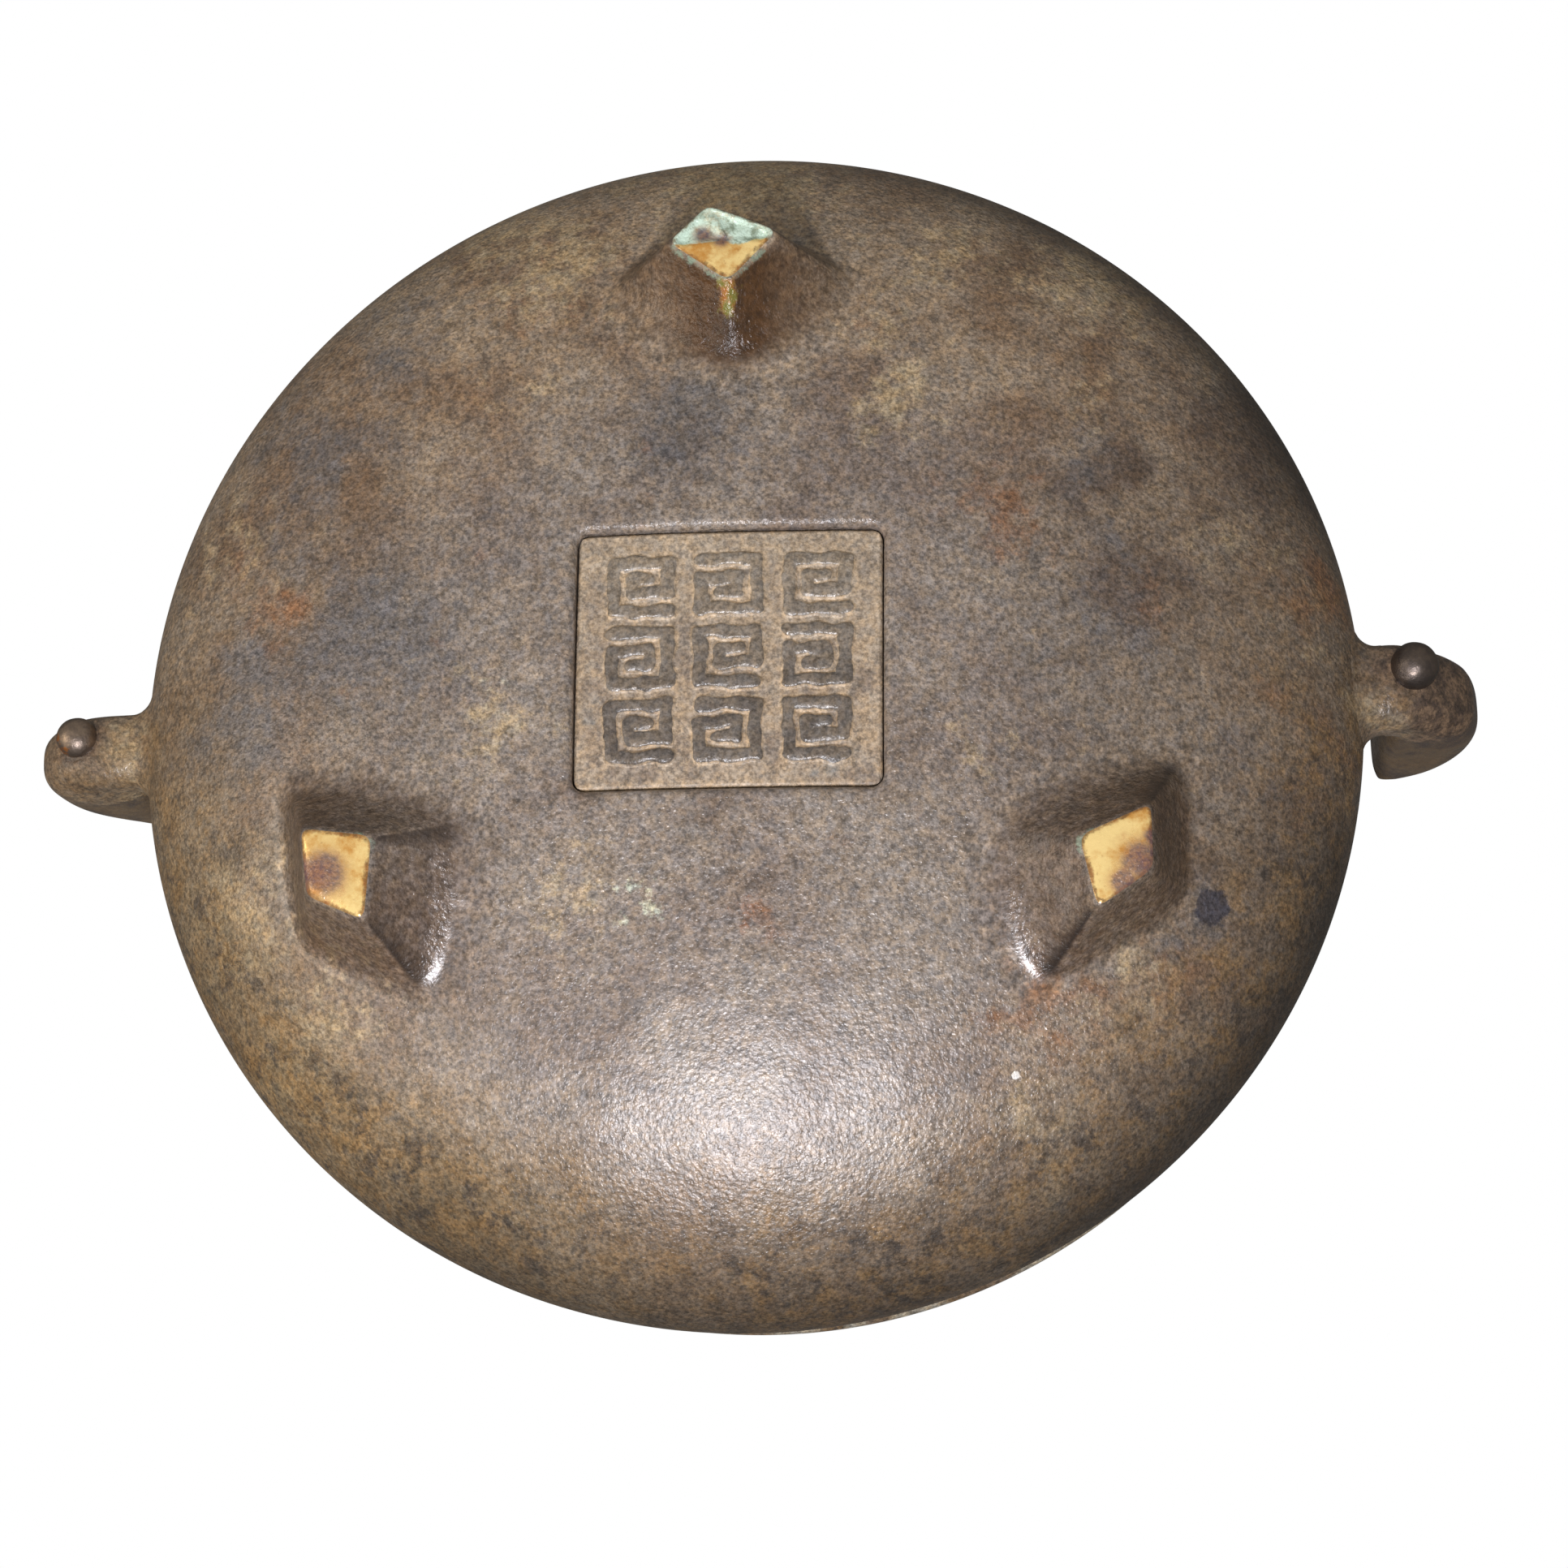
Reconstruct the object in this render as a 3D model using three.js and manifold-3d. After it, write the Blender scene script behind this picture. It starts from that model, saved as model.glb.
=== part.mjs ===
// Three-footed cast bronze incense burner with two lobed side handles, in millimetres.
// +Z is up and the feet stand on z = 0. The handles lie along X.
import * as THREE from "three";
import { mergeVertices } from "three/addons/utils/BufferGeometryUtils.js";
import Module from "manifold-3d";

const wasm = await Module();
wasm.setup();

// Driving dimensions of the bowl
const bellyRadius = 75;
const bellyHeight = 30; // height of the widest ring above the floor
const baseClearance = 2.6; // lowest point of the bowl above the floor
const bellyFullness = 2.14; // exponent of the underside's curve, 2 is a plain ellipse
const shoulderReach = 11; // how far the shoulder's curve comes in from the belly
const shoulderRise = 13;
const shoulderTurn = 58; // degrees of the shoulder's curve before the neck turns out
const neckCurve = 6.5; // radius of the hollow neck
const lipRadius = 71.4;
const lipHeight = 57;
const lipThickness = 3; // height of the lip's rounded outer edge
const lipFlat = 3.6; // width of the lip's flat top with its rounded inner edge
const wall = 3.8;
const floorThickness = 5.4;
const aroundBowl = 64; // facets round the bowl

// Driving dimensions of the feet. Each is a four-sided pyramid with one ridge to the bowl's middle
const footCircle = 52; // radius of the circle through the three tips
const footTurn = 1.3; // degrees that the feet stand turned from the handles' square
const footTipInner = 4.7; // half diagonals of the worn flat tip
const footTipOuter = 3.7;
const footTipSide = 5.8;
const footInnerSlope = 1.25; // rise over run of the two faces to the bowl's middle
const footOuterSlope = 3.2;
const footFillet = 3; // how far off the bowl its blend with the foot begins
const footTenonRadius = 3.6;
const footTenonDepth = 2.6; // how far the tenon stands in the bowl's wall, short of the inside

// Driving dimensions of the two handles and their beads, which were cast a little unlike
const handleShapes = {
  left: {
    neckWidth: 10.7,
    neckHeight: 7.9,
    neckRise: 3.5, // how far the neck's top lies above the belly's widest ring
    earGap: 3, // free gap between the belly and the ear
    earDepth: 12, // from the ear's inner face to its outermost point
    earRise: 15.6, // from the neck's top to the ear's top
    earWidth: 10.5,
    bulge: 0.15, // how much deeper the ear is halfway up, as a share
    kneeDown: 1.2, // exponents of the curve where the neck turns up, 2 is an ellipse
    kneeOut: 1.7,
    crownUp: 3.1, // exponents of the ear's outline towards its top
    crownOut: 2.7,
    beadRadius: 2.75,
    beadReach: 6.15, // distance of the bead's centre from the belly
    beadSide: 1.4, // and sideways from the neck's middle
    beadDrop: 0.7, // how far the bead's centre hangs below the neck
  },
  right: {
    neckWidth: 9.2,
    neckHeight: 6.6,
    neckRise: 1.9,
    earGap: 1.4,
    earDepth: 13.6,
    earRise: 12.8,
    earWidth: 9.4,
    bulge: 0,
    kneeDown: 2.45,
    kneeOut: 2.4,
    crownUp: 1.8,
    crownOut: 2.05,
    beadRadius: 2.5,
    beadReach: 8.05,
    beadSide: 0.85,
    beadDrop: 1.2,
  },
};
const neckFillet = 2; // radius of the neck's blend with the belly
const notchRadius = 0.9; // rounding of the corner between the neck's top and the ear
const crownEdge = 0.5; // rounding of the ear's top edge
const handleTenonRadius = 2.4;
const handleTenonDepth = 2.2;
const tenonInNeck = 4; // how far the tenon reaches into the neck
const beadShankRadius = 1.3;
const beadShankLength = 4;

// Driving dimensions of the panel let into the underside
const panelWidth = 36;
const panelDepth = 31.6;
const panelThickness = 2;
const panelCorner = 1.4;
const panelTurn = 1.8;
const panelSink = 1.5; // how far its ground lies above the bowl's lowest point
const panelBorder = 2.4;
const reliefHeight = 0.7;
const fretColumns = 3;
const fretRows = 3;
const fretLine = 1.4; // width of one raised line of the fret
const fretSpace = 0.8; // bare ground between the lines of one spiral
const fretGapAcross = 2.4; // bare ground between two spirals
const fretGapAlong = 1.35;

const clearance = 0.3; // gap between pieces that seat on or in each other
const wallSink = 1.5; // how far a root runs into the wall before it is cut to its seat

const bronze = new THREE.MeshStandardMaterial({ color: 0x5b4c3e, roughness: 0.45, metalness: 0.7 });
const wornBronze = new THREE.MeshStandardMaterial({ color: 0x3d3431, roughness: 0.3, metalness: 0.8 });
const panelBronze = new THREE.MeshStandardMaterial({ color: 0x6f5c45, roughness: 0.6, metalness: 0.55 });

const radians = THREE.MathUtils.degToRad;
const group = new THREE.Group();

// A closed three.js geometry as a solid that can be cut and joined
function solid(geometry) {
  const bare = new THREE.BufferGeometry();
  bare.setAttribute("position", geometry.getAttribute("position"));
  if (geometry.index) bare.setIndex(geometry.index);
  const merged = mergeVertices(bare, 1e-4);
  const corners = merged.index.array;
  const kept = [];
  for (let i = 0; i < corners.length; i += 3) {
    const [a, b, c] = corners.slice(i, i + 3);
    if (a !== b && b !== c && c !== a) kept.push(a, b, c);
  }
  return new wasm.Manifold(
    new wasm.Mesh({
      numProp: 3,
      vertProperties: new Float32Array(merged.getAttribute("position").array),
      triVerts: new Uint32Array(kept),
    }),
  );
}

function geometryOf(made) {
  const { vertProperties, triVerts } = made.getMesh();
  const geometry = new THREE.BufferGeometry();
  geometry.setAttribute("position", new THREE.BufferAttribute(new Float32Array(vertProperties), 3));
  geometry.setIndex(new THREE.BufferAttribute(new Uint32Array(triVerts), 1));
  geometry.computeVertexNormals();
  return geometry;
}

function addPiece(name, made, material) {
  const piece = new THREE.Mesh(geometryOf(made), material);
  piece.name = name;
  group.add(piece);
}

// Height of the bowl's underside at a distance from the axis
function undersideHeight(radius, reach = bellyRadius, lowest = baseClearance) {
  const share = Math.min(radius / reach, 1) ** bellyFullness;
  return bellyHeight - (bellyHeight - lowest) * (1 - share) ** (1 / bellyFullness);
}

// Points of the underside from the axis out to the belly, closer together where it curves more
function underside(reach, lowest, count) {
  const points = [];
  for (let i = 0; i <= count; i++) {
    const turn = (Math.PI / 2) * (i / count);
    const radius = i === 0 ? 0 : reach * Math.sin(turn) ** (2 / bellyFullness);
    points.push(new THREE.Vector2(radius, undersideHeight(radius, reach, lowest)));
  }
  return points;
}

// The shoulder comes in from the belly, and the neck turns out again to the lip
function shoulderAndNeck(inset, neckEnd) {
  const points = [];
  const end = radians(shoulderTurn);
  for (let i = 1; i <= 6; i++) {
    const turn = end * (i / 6);
    points.push(
      new THREE.Vector2(
        bellyRadius - inset - shoulderReach * (1 - Math.cos(turn)),
        bellyHeight + shoulderRise * Math.sin(turn),
      ),
    );
  }
  const last = points[points.length - 1];
  const slope = Math.atan2(shoulderRise * Math.cos(end), -shoulderReach * Math.sin(end));
  const hollow = neckCurve + inset; // the inside of the neck turns about the same centre
  const centre = new THREE.Vector2(
    last.x + hollow * Math.sin(slope),
    last.y - hollow * Math.cos(slope),
  );
  const from = slope + Math.PI / 2;
  const to = radians(neckEnd);
  for (let i = 1; i <= 6; i++) {
    const turn = from + (to - from) * (i / 6);
    points.push(
      new THREE.Vector2(centre.x + hollow * Math.cos(turn), centre.y + hollow * Math.sin(turn)),
    );
  }
  return points;
}

// The lip's rounded outer edge, its flat top and its smaller inner edge
function lip() {
  const points = [];
  const half = lipThickness / 2;
  const centre = new THREE.Vector2(lipRadius - half, lipHeight - half);
  for (let i = 0; i <= 5; i++) {
    const turn = radians(-50 + (140 * i) / 5);
    points.push(
      new THREE.Vector2(centre.x + half * Math.cos(turn), centre.y + half * Math.sin(turn)),
    );
  }
  const inner = centre.x - lipFlat;
  const edge = lipThickness / 3;
  points.push(new THREE.Vector2(inner + edge, lipHeight));
  points.push(new THREE.Vector2(inner + edge / 3, lipHeight - edge / 3));
  points.push(new THREE.Vector2(inner, lipHeight - edge));
  return points;
}

function turned(profile, facets = aroundBowl) {
  return solid(new THREE.LatheGeometry(profile, facets).rotateX(Math.PI / 2));
}

// Everything inside the bowl's outer surface, grown by a clearance, which seats are cut with
function bowlEnvelope(grow) {
  const profile = underside(bellyRadius + grow, baseClearance - grow, 16);
  profile.push(...shoulderAndNeck(-grow, 180));
  profile.push(new THREE.Vector2(0, profile[profile.length - 1].y));
  return turned(profile);
}

function cylinderAlong(axis, radius, length, facets = 24) {
  const geometry = new THREE.CylinderGeometry(radius, radius, length, facets);
  if (axis === "z") geometry.rotateX(Math.PI / 2);
  if (axis === "x") geometry.rotateZ(Math.PI / 2);
  return geometry;
}

function roundedRectangle(width, depth, corner) {
  const shape = new THREE.Shape();
  const x = width / 2 - corner;
  const y = depth / 2 - corner;
  shape.absarc(x, y, corner, 0, Math.PI / 2);
  shape.absarc(-x, y, corner, Math.PI / 2, Math.PI);
  shape.absarc(-x, -y, corner, Math.PI, 1.5 * Math.PI);
  shape.absarc(x, -y, corner, 1.5 * Math.PI, 2 * Math.PI);
  return shape;
}

// The panel's ground, and where its seat in the bowl ends
const panelGround = baseClearance + panelSink;
const seatTop = panelGround + panelThickness + clearance;

// Radius of the bowl's outside at a height near its widest ring
function bellyAt(height) {
  const rise = height - bellyHeight;
  if (rise > 0) {
    const share = Math.min(rise / shoulderRise, 1);
    return bellyRadius - shoulderReach * (1 - Math.sqrt(1 - share * share));
  }
  const share = Math.min(-rise / (bellyHeight - baseClearance), 1) ** bellyFullness;
  return bellyRadius * (1 - share) ** (1 / bellyFullness);
}

const footAngles = { foot_back: 90, foot_left: 210, foot_right: 330 };
const sides = { left: -1, right: 1 };
const footTenonTop = undersideHeight(footCircle) + footTenonDepth;

// Height of the middle of a handle's neck
function neckMiddle(shape) {
  return bellyHeight + shape.neckRise - shape.neckHeight / 2;
}

// Middle of the bead under a handle on the right
function beadPlace(shape) {
  const height = neckMiddle(shape) - shape.neckHeight / 2 - shape.beadDrop;
  return new THREE.Vector3(bellyRadius + shape.beadReach, shape.beadSide, height);
}

function footPlace(degrees, radius) {
  const turn = radians(degrees + footTurn);
  return new THREE.Vector3(radius * Math.cos(turn), radius * Math.sin(turn), 0);
}

function bowl() {
  const inside = underside(bellyRadius - wall, baseClearance + floorThickness, 9);
  const profile = [
    ...underside(bellyRadius, baseClearance, 14),
    ...shoulderAndNeck(0, 128),
    ...lip(),
    ...shoulderAndNeck(wall, 145).reverse(),
    ...inside.reverse(),
  ];
  let made = turned(profile);
  const seat = new THREE.ExtrudeGeometry(
    roundedRectangle(panelWidth + 2 * clearance, panelDepth + 2 * clearance, panelCorner + clearance),
    { depth: seatTop + baseClearance, bevelEnabled: false, curveSegments: 4 },
  );
  seat.translate(0, 0, -baseClearance).rotateZ(radians(panelTurn));
  made = made.subtract(solid(seat));
  for (const degrees of Object.values(footAngles)) {
    const place = footPlace(degrees, footCircle);
    const hole = cylinderAlong("z", footTenonRadius + clearance, footTenonTop + clearance);
    hole.translate(place.x, place.y, (footTenonTop + clearance) / 2);
    made = made.subtract(solid(hole));
  }
  for (const [name, side] of Object.entries(sides)) {
    const depth = handleTenonDepth + clearance;
    const hole = cylinderAlong("x", handleTenonRadius + clearance, 2 * depth);
    hole.translate(side * bellyRadius, 0, neckMiddle(handleShapes[name]));
    made = made.subtract(solid(hole));
  }
  addPiece("bowl", made, bronze);
}

// Height of a foot's faces above the floor, u outwards and v sideways from the middle of its tip
function footFaces(u, v) {
  const across = Math.abs(v) - footTipSide;
  const inner = (footTipInner * across - footTipSide * u) / Math.hypot(footTipInner, footTipSide);
  const outer = (footTipOuter * across + footTipSide * u) / Math.hypot(footTipOuter, footTipSide);
  return Math.max(footInnerSlope * inner, footOuterSlope * outer, 0);
}

// The lower of two heights, with a soft blend where they differ by less than the softness
function softLower(a, b, softness) {
  const near = Math.max(softness - Math.abs(a - b), 0) / softness;
  return Math.min(a, b) - (near ** 3 * softness) / 6;
}

// Rings of points joined into a closed skin, with a point at each end
function skin(rings, first, last) {
  const count = rings[0].length;
  const points = [...rings.flat(), first, last];
  const start = rings.length * count;
  const triangles = [];
  for (let i = 0; i < count; i++) {
    const next = (i + 1) % count;
    for (let k = 0; k + 1 < rings.length; k++) {
      const [a, b] = [k * count + i, k * count + next];
      triangles.push(a, b, b + count, a, b + count, a + count);
    }
    triangles.push(start, next, i, start + 1, start - count + i, start - count + next);
  }
  const geometry = new THREE.BufferGeometry().setFromPoints(points);
  geometry.setIndex(triangles);
  return geometry;
}

// One point of a rounded outline whose halves may differ in reach and in fullness
function roundedOutline(turn, reachPlus, reachMinus, side, fullPlus, fullMinus) {
  const [c, s] = [Math.cos(turn), Math.sin(turn)];
  const fullness = c > 0 ? fullPlus : fullMinus;
  return new THREE.Vector2(
    (c > 0 ? reachPlus : reachMinus) * Math.sign(c) * Math.abs(c) ** (2 / fullness),
    side * Math.sign(s) * Math.abs(s) ** (2 / fullness),
  );
}

function foot(name, degrees, envelope) {
  const facets = 24;
  const steps = 7;
  const middle = footPlace(degrees, footCircle);
  const out = middle.clone().normalize();
  const across = new THREE.Vector3(-out.y, out.x, 0);
  const rings = Array.from({ length: steps + 1 }, () => []);
  for (let i = 0; i < facets; i++) {
    const turn = (2 * Math.PI * i) / facets;
    const tip = roundedOutline(turn, footTipOuter, footTipInner, footTipSide, 1.1, 1.1);
    const place = (scale) => {
      const point = middle.clone().addScaledVector(out, tip.x * scale);
      return point.addScaledVector(across, tip.y * scale);
    };
    const bowlHeight = (point) => undersideHeight(Math.hypot(point.x, point.y));
    let reach = 1;
    while (footFaces(tip.x * reach, tip.y * reach) < bowlHeight(place(reach)) + footFillet) {
      reach += 0.02;
    }
    for (let k = 0; k <= steps; k++) {
      const scale = 1 + (reach - 1) * (k / steps);
      const point = place(scale);
      const faces = footFaces(tip.x * scale, tip.y * scale);
      point.z = k ? softLower(faces, bowlHeight(point), footFillet) : 0;
      rings[k].push(point);
    }
  }
  const root = middle.clone().setZ(undersideHeight(footCircle) + 1);
  const tenonLength = footTenonTop - footTenonTop / 3;
  const tenon = cylinderAlong("z", footTenonRadius, tenonLength);
  tenon.translate(middle.x, middle.y, footTenonTop - tenonLength / 2);
  addPiece(name, solid(skin(rings, middle, root)).subtract(envelope).add(solid(tenon)), bronze);
}

// A handle on the right, as rings that run out along the neck, turn up round the notch beside the
// bowl and rise to the ear's top. Each ring has one side to the notch and one away from it
function handleRings(shape) {
  const facets = 24;
  const rings = [];
  const notch = Math.min(notchRadius, shape.earGap / 2);
  const neckTop = bellyHeight + shape.neckRise;
  const earInner = bellyRadius + shape.earGap;
  const pivot = new THREE.Vector2(earInner - notch, neckTop + notch);
  const addRing = (place) => {
    rings.push(Array.from({ length: facets }, (unused, i) => place((2 * Math.PI * i) / facets)));
  };
  const belly = (y, z) => Math.sqrt(Math.max(bellyAt(z) ** 2 - y * y, 0));
  // From inside the wall out to the pivot
  const half = shape.neckHeight / 2;
  for (const lift of [-1, 0, 0.35, 0.7]) {
    addRing((turn) => {
      const flat = roundedOutline(turn, half, half, shape.neckWidth / 2, 3, 3);
      const [y, z] = [flat.y, neckMiddle(shape) - flat.x];
      const surface = belly(y, z);
      const x = lift < 0 ? surface - wallSink : surface + (pivot.x - surface) * lift;
      return new THREE.Vector3(x, y, z);
    });
  }
  // The ear's depth by how far up it is, as a multiple of its depth at the notch
  const steps = 8;
  const shares = Array.from({ length: steps }, (unused, k) => 0.995 * Math.sin((Math.PI / 2) * ((k + 1) / steps)));
  const outline = (share) =>
    (1 + 4 * shape.bulge * share * (1 - share)) * (1 - share ** shape.crownUp) ** (1 / shape.crownOut);
  const depthBelow = shape.earDepth / Math.max(1, ...shares.map(outline));
  // Round the notch: from straight down below it to straight out beside it
  for (let k = 0; k <= 6; k++) {
    const turn = (Math.PI / 2) * (k / 6);
    const width = THREE.MathUtils.lerp(shape.neckWidth, shape.earWidth, k / 6);
    const down = (shape.neckHeight + notch) * Math.max(Math.cos(turn), 0) ** (2 / shape.kneeDown);
    const outward = (depthBelow + notch) * Math.sin(turn) ** (2 / shape.kneeOut);
    const length = Math.hypot(down, outward);
    const along = new THREE.Vector2(outward, -down).normalize();
    const halfLength = (length - notch) / 2;
    addRing((angle) => {
      const flat = roundedOutline(angle, halfLength, halfLength, width / 2, 2.8, 4);
      const reach = (notch + length) / 2 + flat.x;
      return new THREE.Vector3(pivot.x + along.x * reach, flat.y, pivot.y + along.y * reach);
    });
  }
  // Up the ear, drawn in to its top
  shares.forEach((share, k) => {
    const inset = k === steps - 1 ? crownEdge : 0;
    const depth = depthBelow * outline(share) - 2 * inset;
    const z = pivot.y + (shape.earRise - notch) * share + inset / 5;
    addRing((angle) => {
      const flat = roundedOutline(angle, depth / 2, depth / 2, shape.earWidth / 2 - inset, 2.8, 4);
      return new THREE.Vector3(earInner + inset + depth / 2 + flat.x, flat.y, z);
    });
  });
  // The blend with the belly: points close to it move out from the neck's middle
  for (const point of rings.flat()) {
    if (point.z > neckTop) continue;
    const away = THREE.MathUtils.clamp((point.x - belly(point.y, point.z)) / neckFillet, 0, 1);
    const spread = neckFillet * (1 - Math.sqrt(1 - (1 - away) ** 2));
    const aside = new THREE.Vector2(point.y, Math.min(point.z - neckMiddle(shape), 0));
    aside.setLength(aside.length() > 0.5 ? spread : 0);
    point.y += aside.x;
    point.z += aside.y;
  }
  return rings;
}

function mirroredTo(side, geometry) {
  if (side < 0) geometry.rotateZ(Math.PI);
  return geometry;
}

function handle(name, side, shape, envelope) {
  const rings = handleRings(shape);
  const middleOf = (ring) => {
    const sum = ring.reduce((total, point) => total.add(point), new THREE.Vector3());
    return sum.divideScalar(ring.length);
  };
  const lump = skin(rings, middleOf(rings[0]), middleOf(rings[rings.length - 1]));
  const tenonLength = handleTenonDepth + tenonInNeck;
  const tenon = cylinderAlong("x", handleTenonRadius, tenonLength);
  tenon.translate(bellyRadius - handleTenonDepth + tenonLength / 2, 0, neckMiddle(shape));
  const middle = beadPlace(shape);
  const socket = new THREE.SphereGeometry(shape.beadRadius + clearance, 16, 10);
  socket.translate(middle.x, middle.y, middle.z);
  const bore = cylinderAlong("z", beadShankRadius + clearance, beadShankLength + clearance, 16);
  bore.translate(middle.x, middle.y, shankMiddle(shape) + clearance / 2);
  const made = solid(mirroredTo(side, lump))
    .subtract(envelope)
    .add(solid(mirroredTo(side, tenon)))
    .subtract(solid(mirroredTo(side, socket)))
    .subtract(solid(mirroredTo(side, bore)));
  addPiece(name, made, bronze);
}

// Height of the middle of the shank that holds a bead, which starts a little inside it
function shankMiddle(shape) {
  return beadPlace(shape).z + shape.beadRadius - 0.5 + beadShankLength / 2;
}

function bead(name, side, shape) {
  const middle = beadPlace(shape);
  const ball = new THREE.SphereGeometry(shape.beadRadius, 16, 10);
  ball.translate(middle.x, middle.y, middle.z);
  const shank = cylinderAlong("z", beadShankRadius, beadShankLength, 16);
  shank.translate(middle.x, middle.y, shankMiddle(shape));
  addPiece(name, solid(mirroredTo(side, ball)).add(solid(mirroredTo(side, shank))), wornBronze);
}

// One squared spiral of the fret: straight raised lines that wind in from a corner
function spiral(width, depth) {
  const pitch = fretLine + fretSpace;
  const [x, y] = [(width - fretLine) / 2, (depth - fretLine) / 2];
  const corners = [
    [-x, -y], [x, -y], [x, y], [-x, y], [-x, pitch - y], [x - pitch, pitch - y], [x - pitch, y - pitch],
    [pitch - x, y - pitch],
  ];
  const height = reliefHeight + panelThickness / 2;
  let made = null;
  for (let i = 0; i + 1 < corners.length; i++) {
    const [from, to] = [corners[i], corners[i + 1]];
    const sizes = [0, 1].map((axis) => Math.abs(to[axis] - from[axis]) + fretLine);
    const line = new THREE.BoxGeometry(sizes[0], sizes[1], height);
    line.translate((from[0] + to[0]) / 2, (from[1] + to[1]) / 2, height / 2);
    made = made ? made.add(solid(line)) : solid(line);
  }
  return geometryOf(made);
}

function markPanel() {
  const plate = new THREE.ExtrudeGeometry(roundedRectangle(panelWidth, panelDepth, panelCorner), {
    depth: panelThickness,
    bevelEnabled: false,
    curveSegments: 4,
  });
  plate.translate(0, 0, panelGround);
  let made = solid(plate);
  const cellWidth = (panelWidth - 2 * panelBorder) / fretColumns;
  const cellDepth = (panelDepth - 2 * panelBorder) / fretRows;
  for (let column = 0; column < fretColumns; column++) {
    for (let row = 0; row < fretRows; row++) {
      const raised = spiral(cellWidth - fretGapAcross, cellDepth - fretGapAlong);
      if ((column + row) % 2) raised.rotateZ(Math.PI);
      raised.translate(
        (column - (fretColumns - 1) / 2) * cellWidth,
        (row - (fretRows - 1) / 2) * cellDepth,
        panelGround - reliefHeight,
      );
      made = made.add(solid(raised));
    }
  }
  addPiece("base_panel", solid(geometryOf(made).rotateZ(radians(panelTurn))), panelBronze);
}

const envelope = bowlEnvelope(clearance);
bowl();
markPanel();
for (const [name, degrees] of Object.entries(footAngles)) foot(name, degrees, envelope);
for (const [name, side] of Object.entries(sides)) {
  handle(`handle_${name}`, side, handleShapes[name], envelope);
  bead(`bead_${name}`, side, handleShapes[name]);
}

export default group;
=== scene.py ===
import math

import bpy
import numpy as np
from mathutils import Matrix, Vector


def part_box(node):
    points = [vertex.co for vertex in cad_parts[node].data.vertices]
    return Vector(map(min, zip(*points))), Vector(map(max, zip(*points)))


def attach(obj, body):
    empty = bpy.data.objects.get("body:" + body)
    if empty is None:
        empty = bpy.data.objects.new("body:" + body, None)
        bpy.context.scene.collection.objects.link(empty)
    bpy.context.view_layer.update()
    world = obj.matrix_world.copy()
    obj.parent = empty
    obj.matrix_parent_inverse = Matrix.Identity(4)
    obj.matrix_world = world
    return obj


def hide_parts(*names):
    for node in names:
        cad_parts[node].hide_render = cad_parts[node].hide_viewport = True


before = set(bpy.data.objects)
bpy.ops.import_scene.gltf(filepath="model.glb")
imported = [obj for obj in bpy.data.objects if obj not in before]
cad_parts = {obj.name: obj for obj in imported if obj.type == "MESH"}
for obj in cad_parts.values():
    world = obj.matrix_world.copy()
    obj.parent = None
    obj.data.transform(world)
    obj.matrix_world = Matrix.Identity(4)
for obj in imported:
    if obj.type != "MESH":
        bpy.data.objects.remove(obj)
scene = bpy.context.scene
mm = 0.001


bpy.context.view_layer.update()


# Colour, node and mesh helpers


def linear(hexColour):
    # sRGB hex to the linear colour that Blender works in
    parts = [int(hexColour[i:i + 2], 16) / 255 for i in (1, 3, 5)]
    return (*[c / 12.92 if c <= 0.04045 else ((c + 0.055) / 1.055) ** 2.4 for c in parts], 1.0)


def addNode(tree, kind, inputs=(), **settings):
    # inputs is a list of (socket name or number, value or the socket that feeds it)
    node = tree.nodes.new(kind)
    for name, value in settings.items():
        setattr(node, name, value)
    for key, value in inputs:
        if isinstance(value, bpy.types.NodeSocket):
            tree.links.new(value, node.inputs[key])
        else:
            node.inputs[key].default_value = value
    return node


def smoothStep(value, low, high):
    share = np.clip((value - low) / (high - low), 0, 1)
    return share * share * (3 - 2 * share)


def softLower(a, b, softness):
    # the lower of two heights, blended where they differ by less than the softness
    near = np.maximum(softness - np.abs(a - b), 0) / softness
    return np.minimum(a, b) - near ** 3 * softness / 6


def asPoints(x, y, z):
    return np.stack([x, y, z], axis=-1)


def ripple(x, y, size, seed=0.0):
    # a smooth uneven surface, about -1 to 1, with waves of about that size in mm
    total = np.zeros_like(np.asarray(x, float))
    for i in range(5):
        turn = seed + i * 2.4
        pace = 2 * math.pi / (size * (0.7 + 0.23 * i))
        total = total + np.sin(pace * (x * math.cos(turn) + y * math.sin(turn)) + 1.7 * i + seed * 3)
    return total / 3


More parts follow.
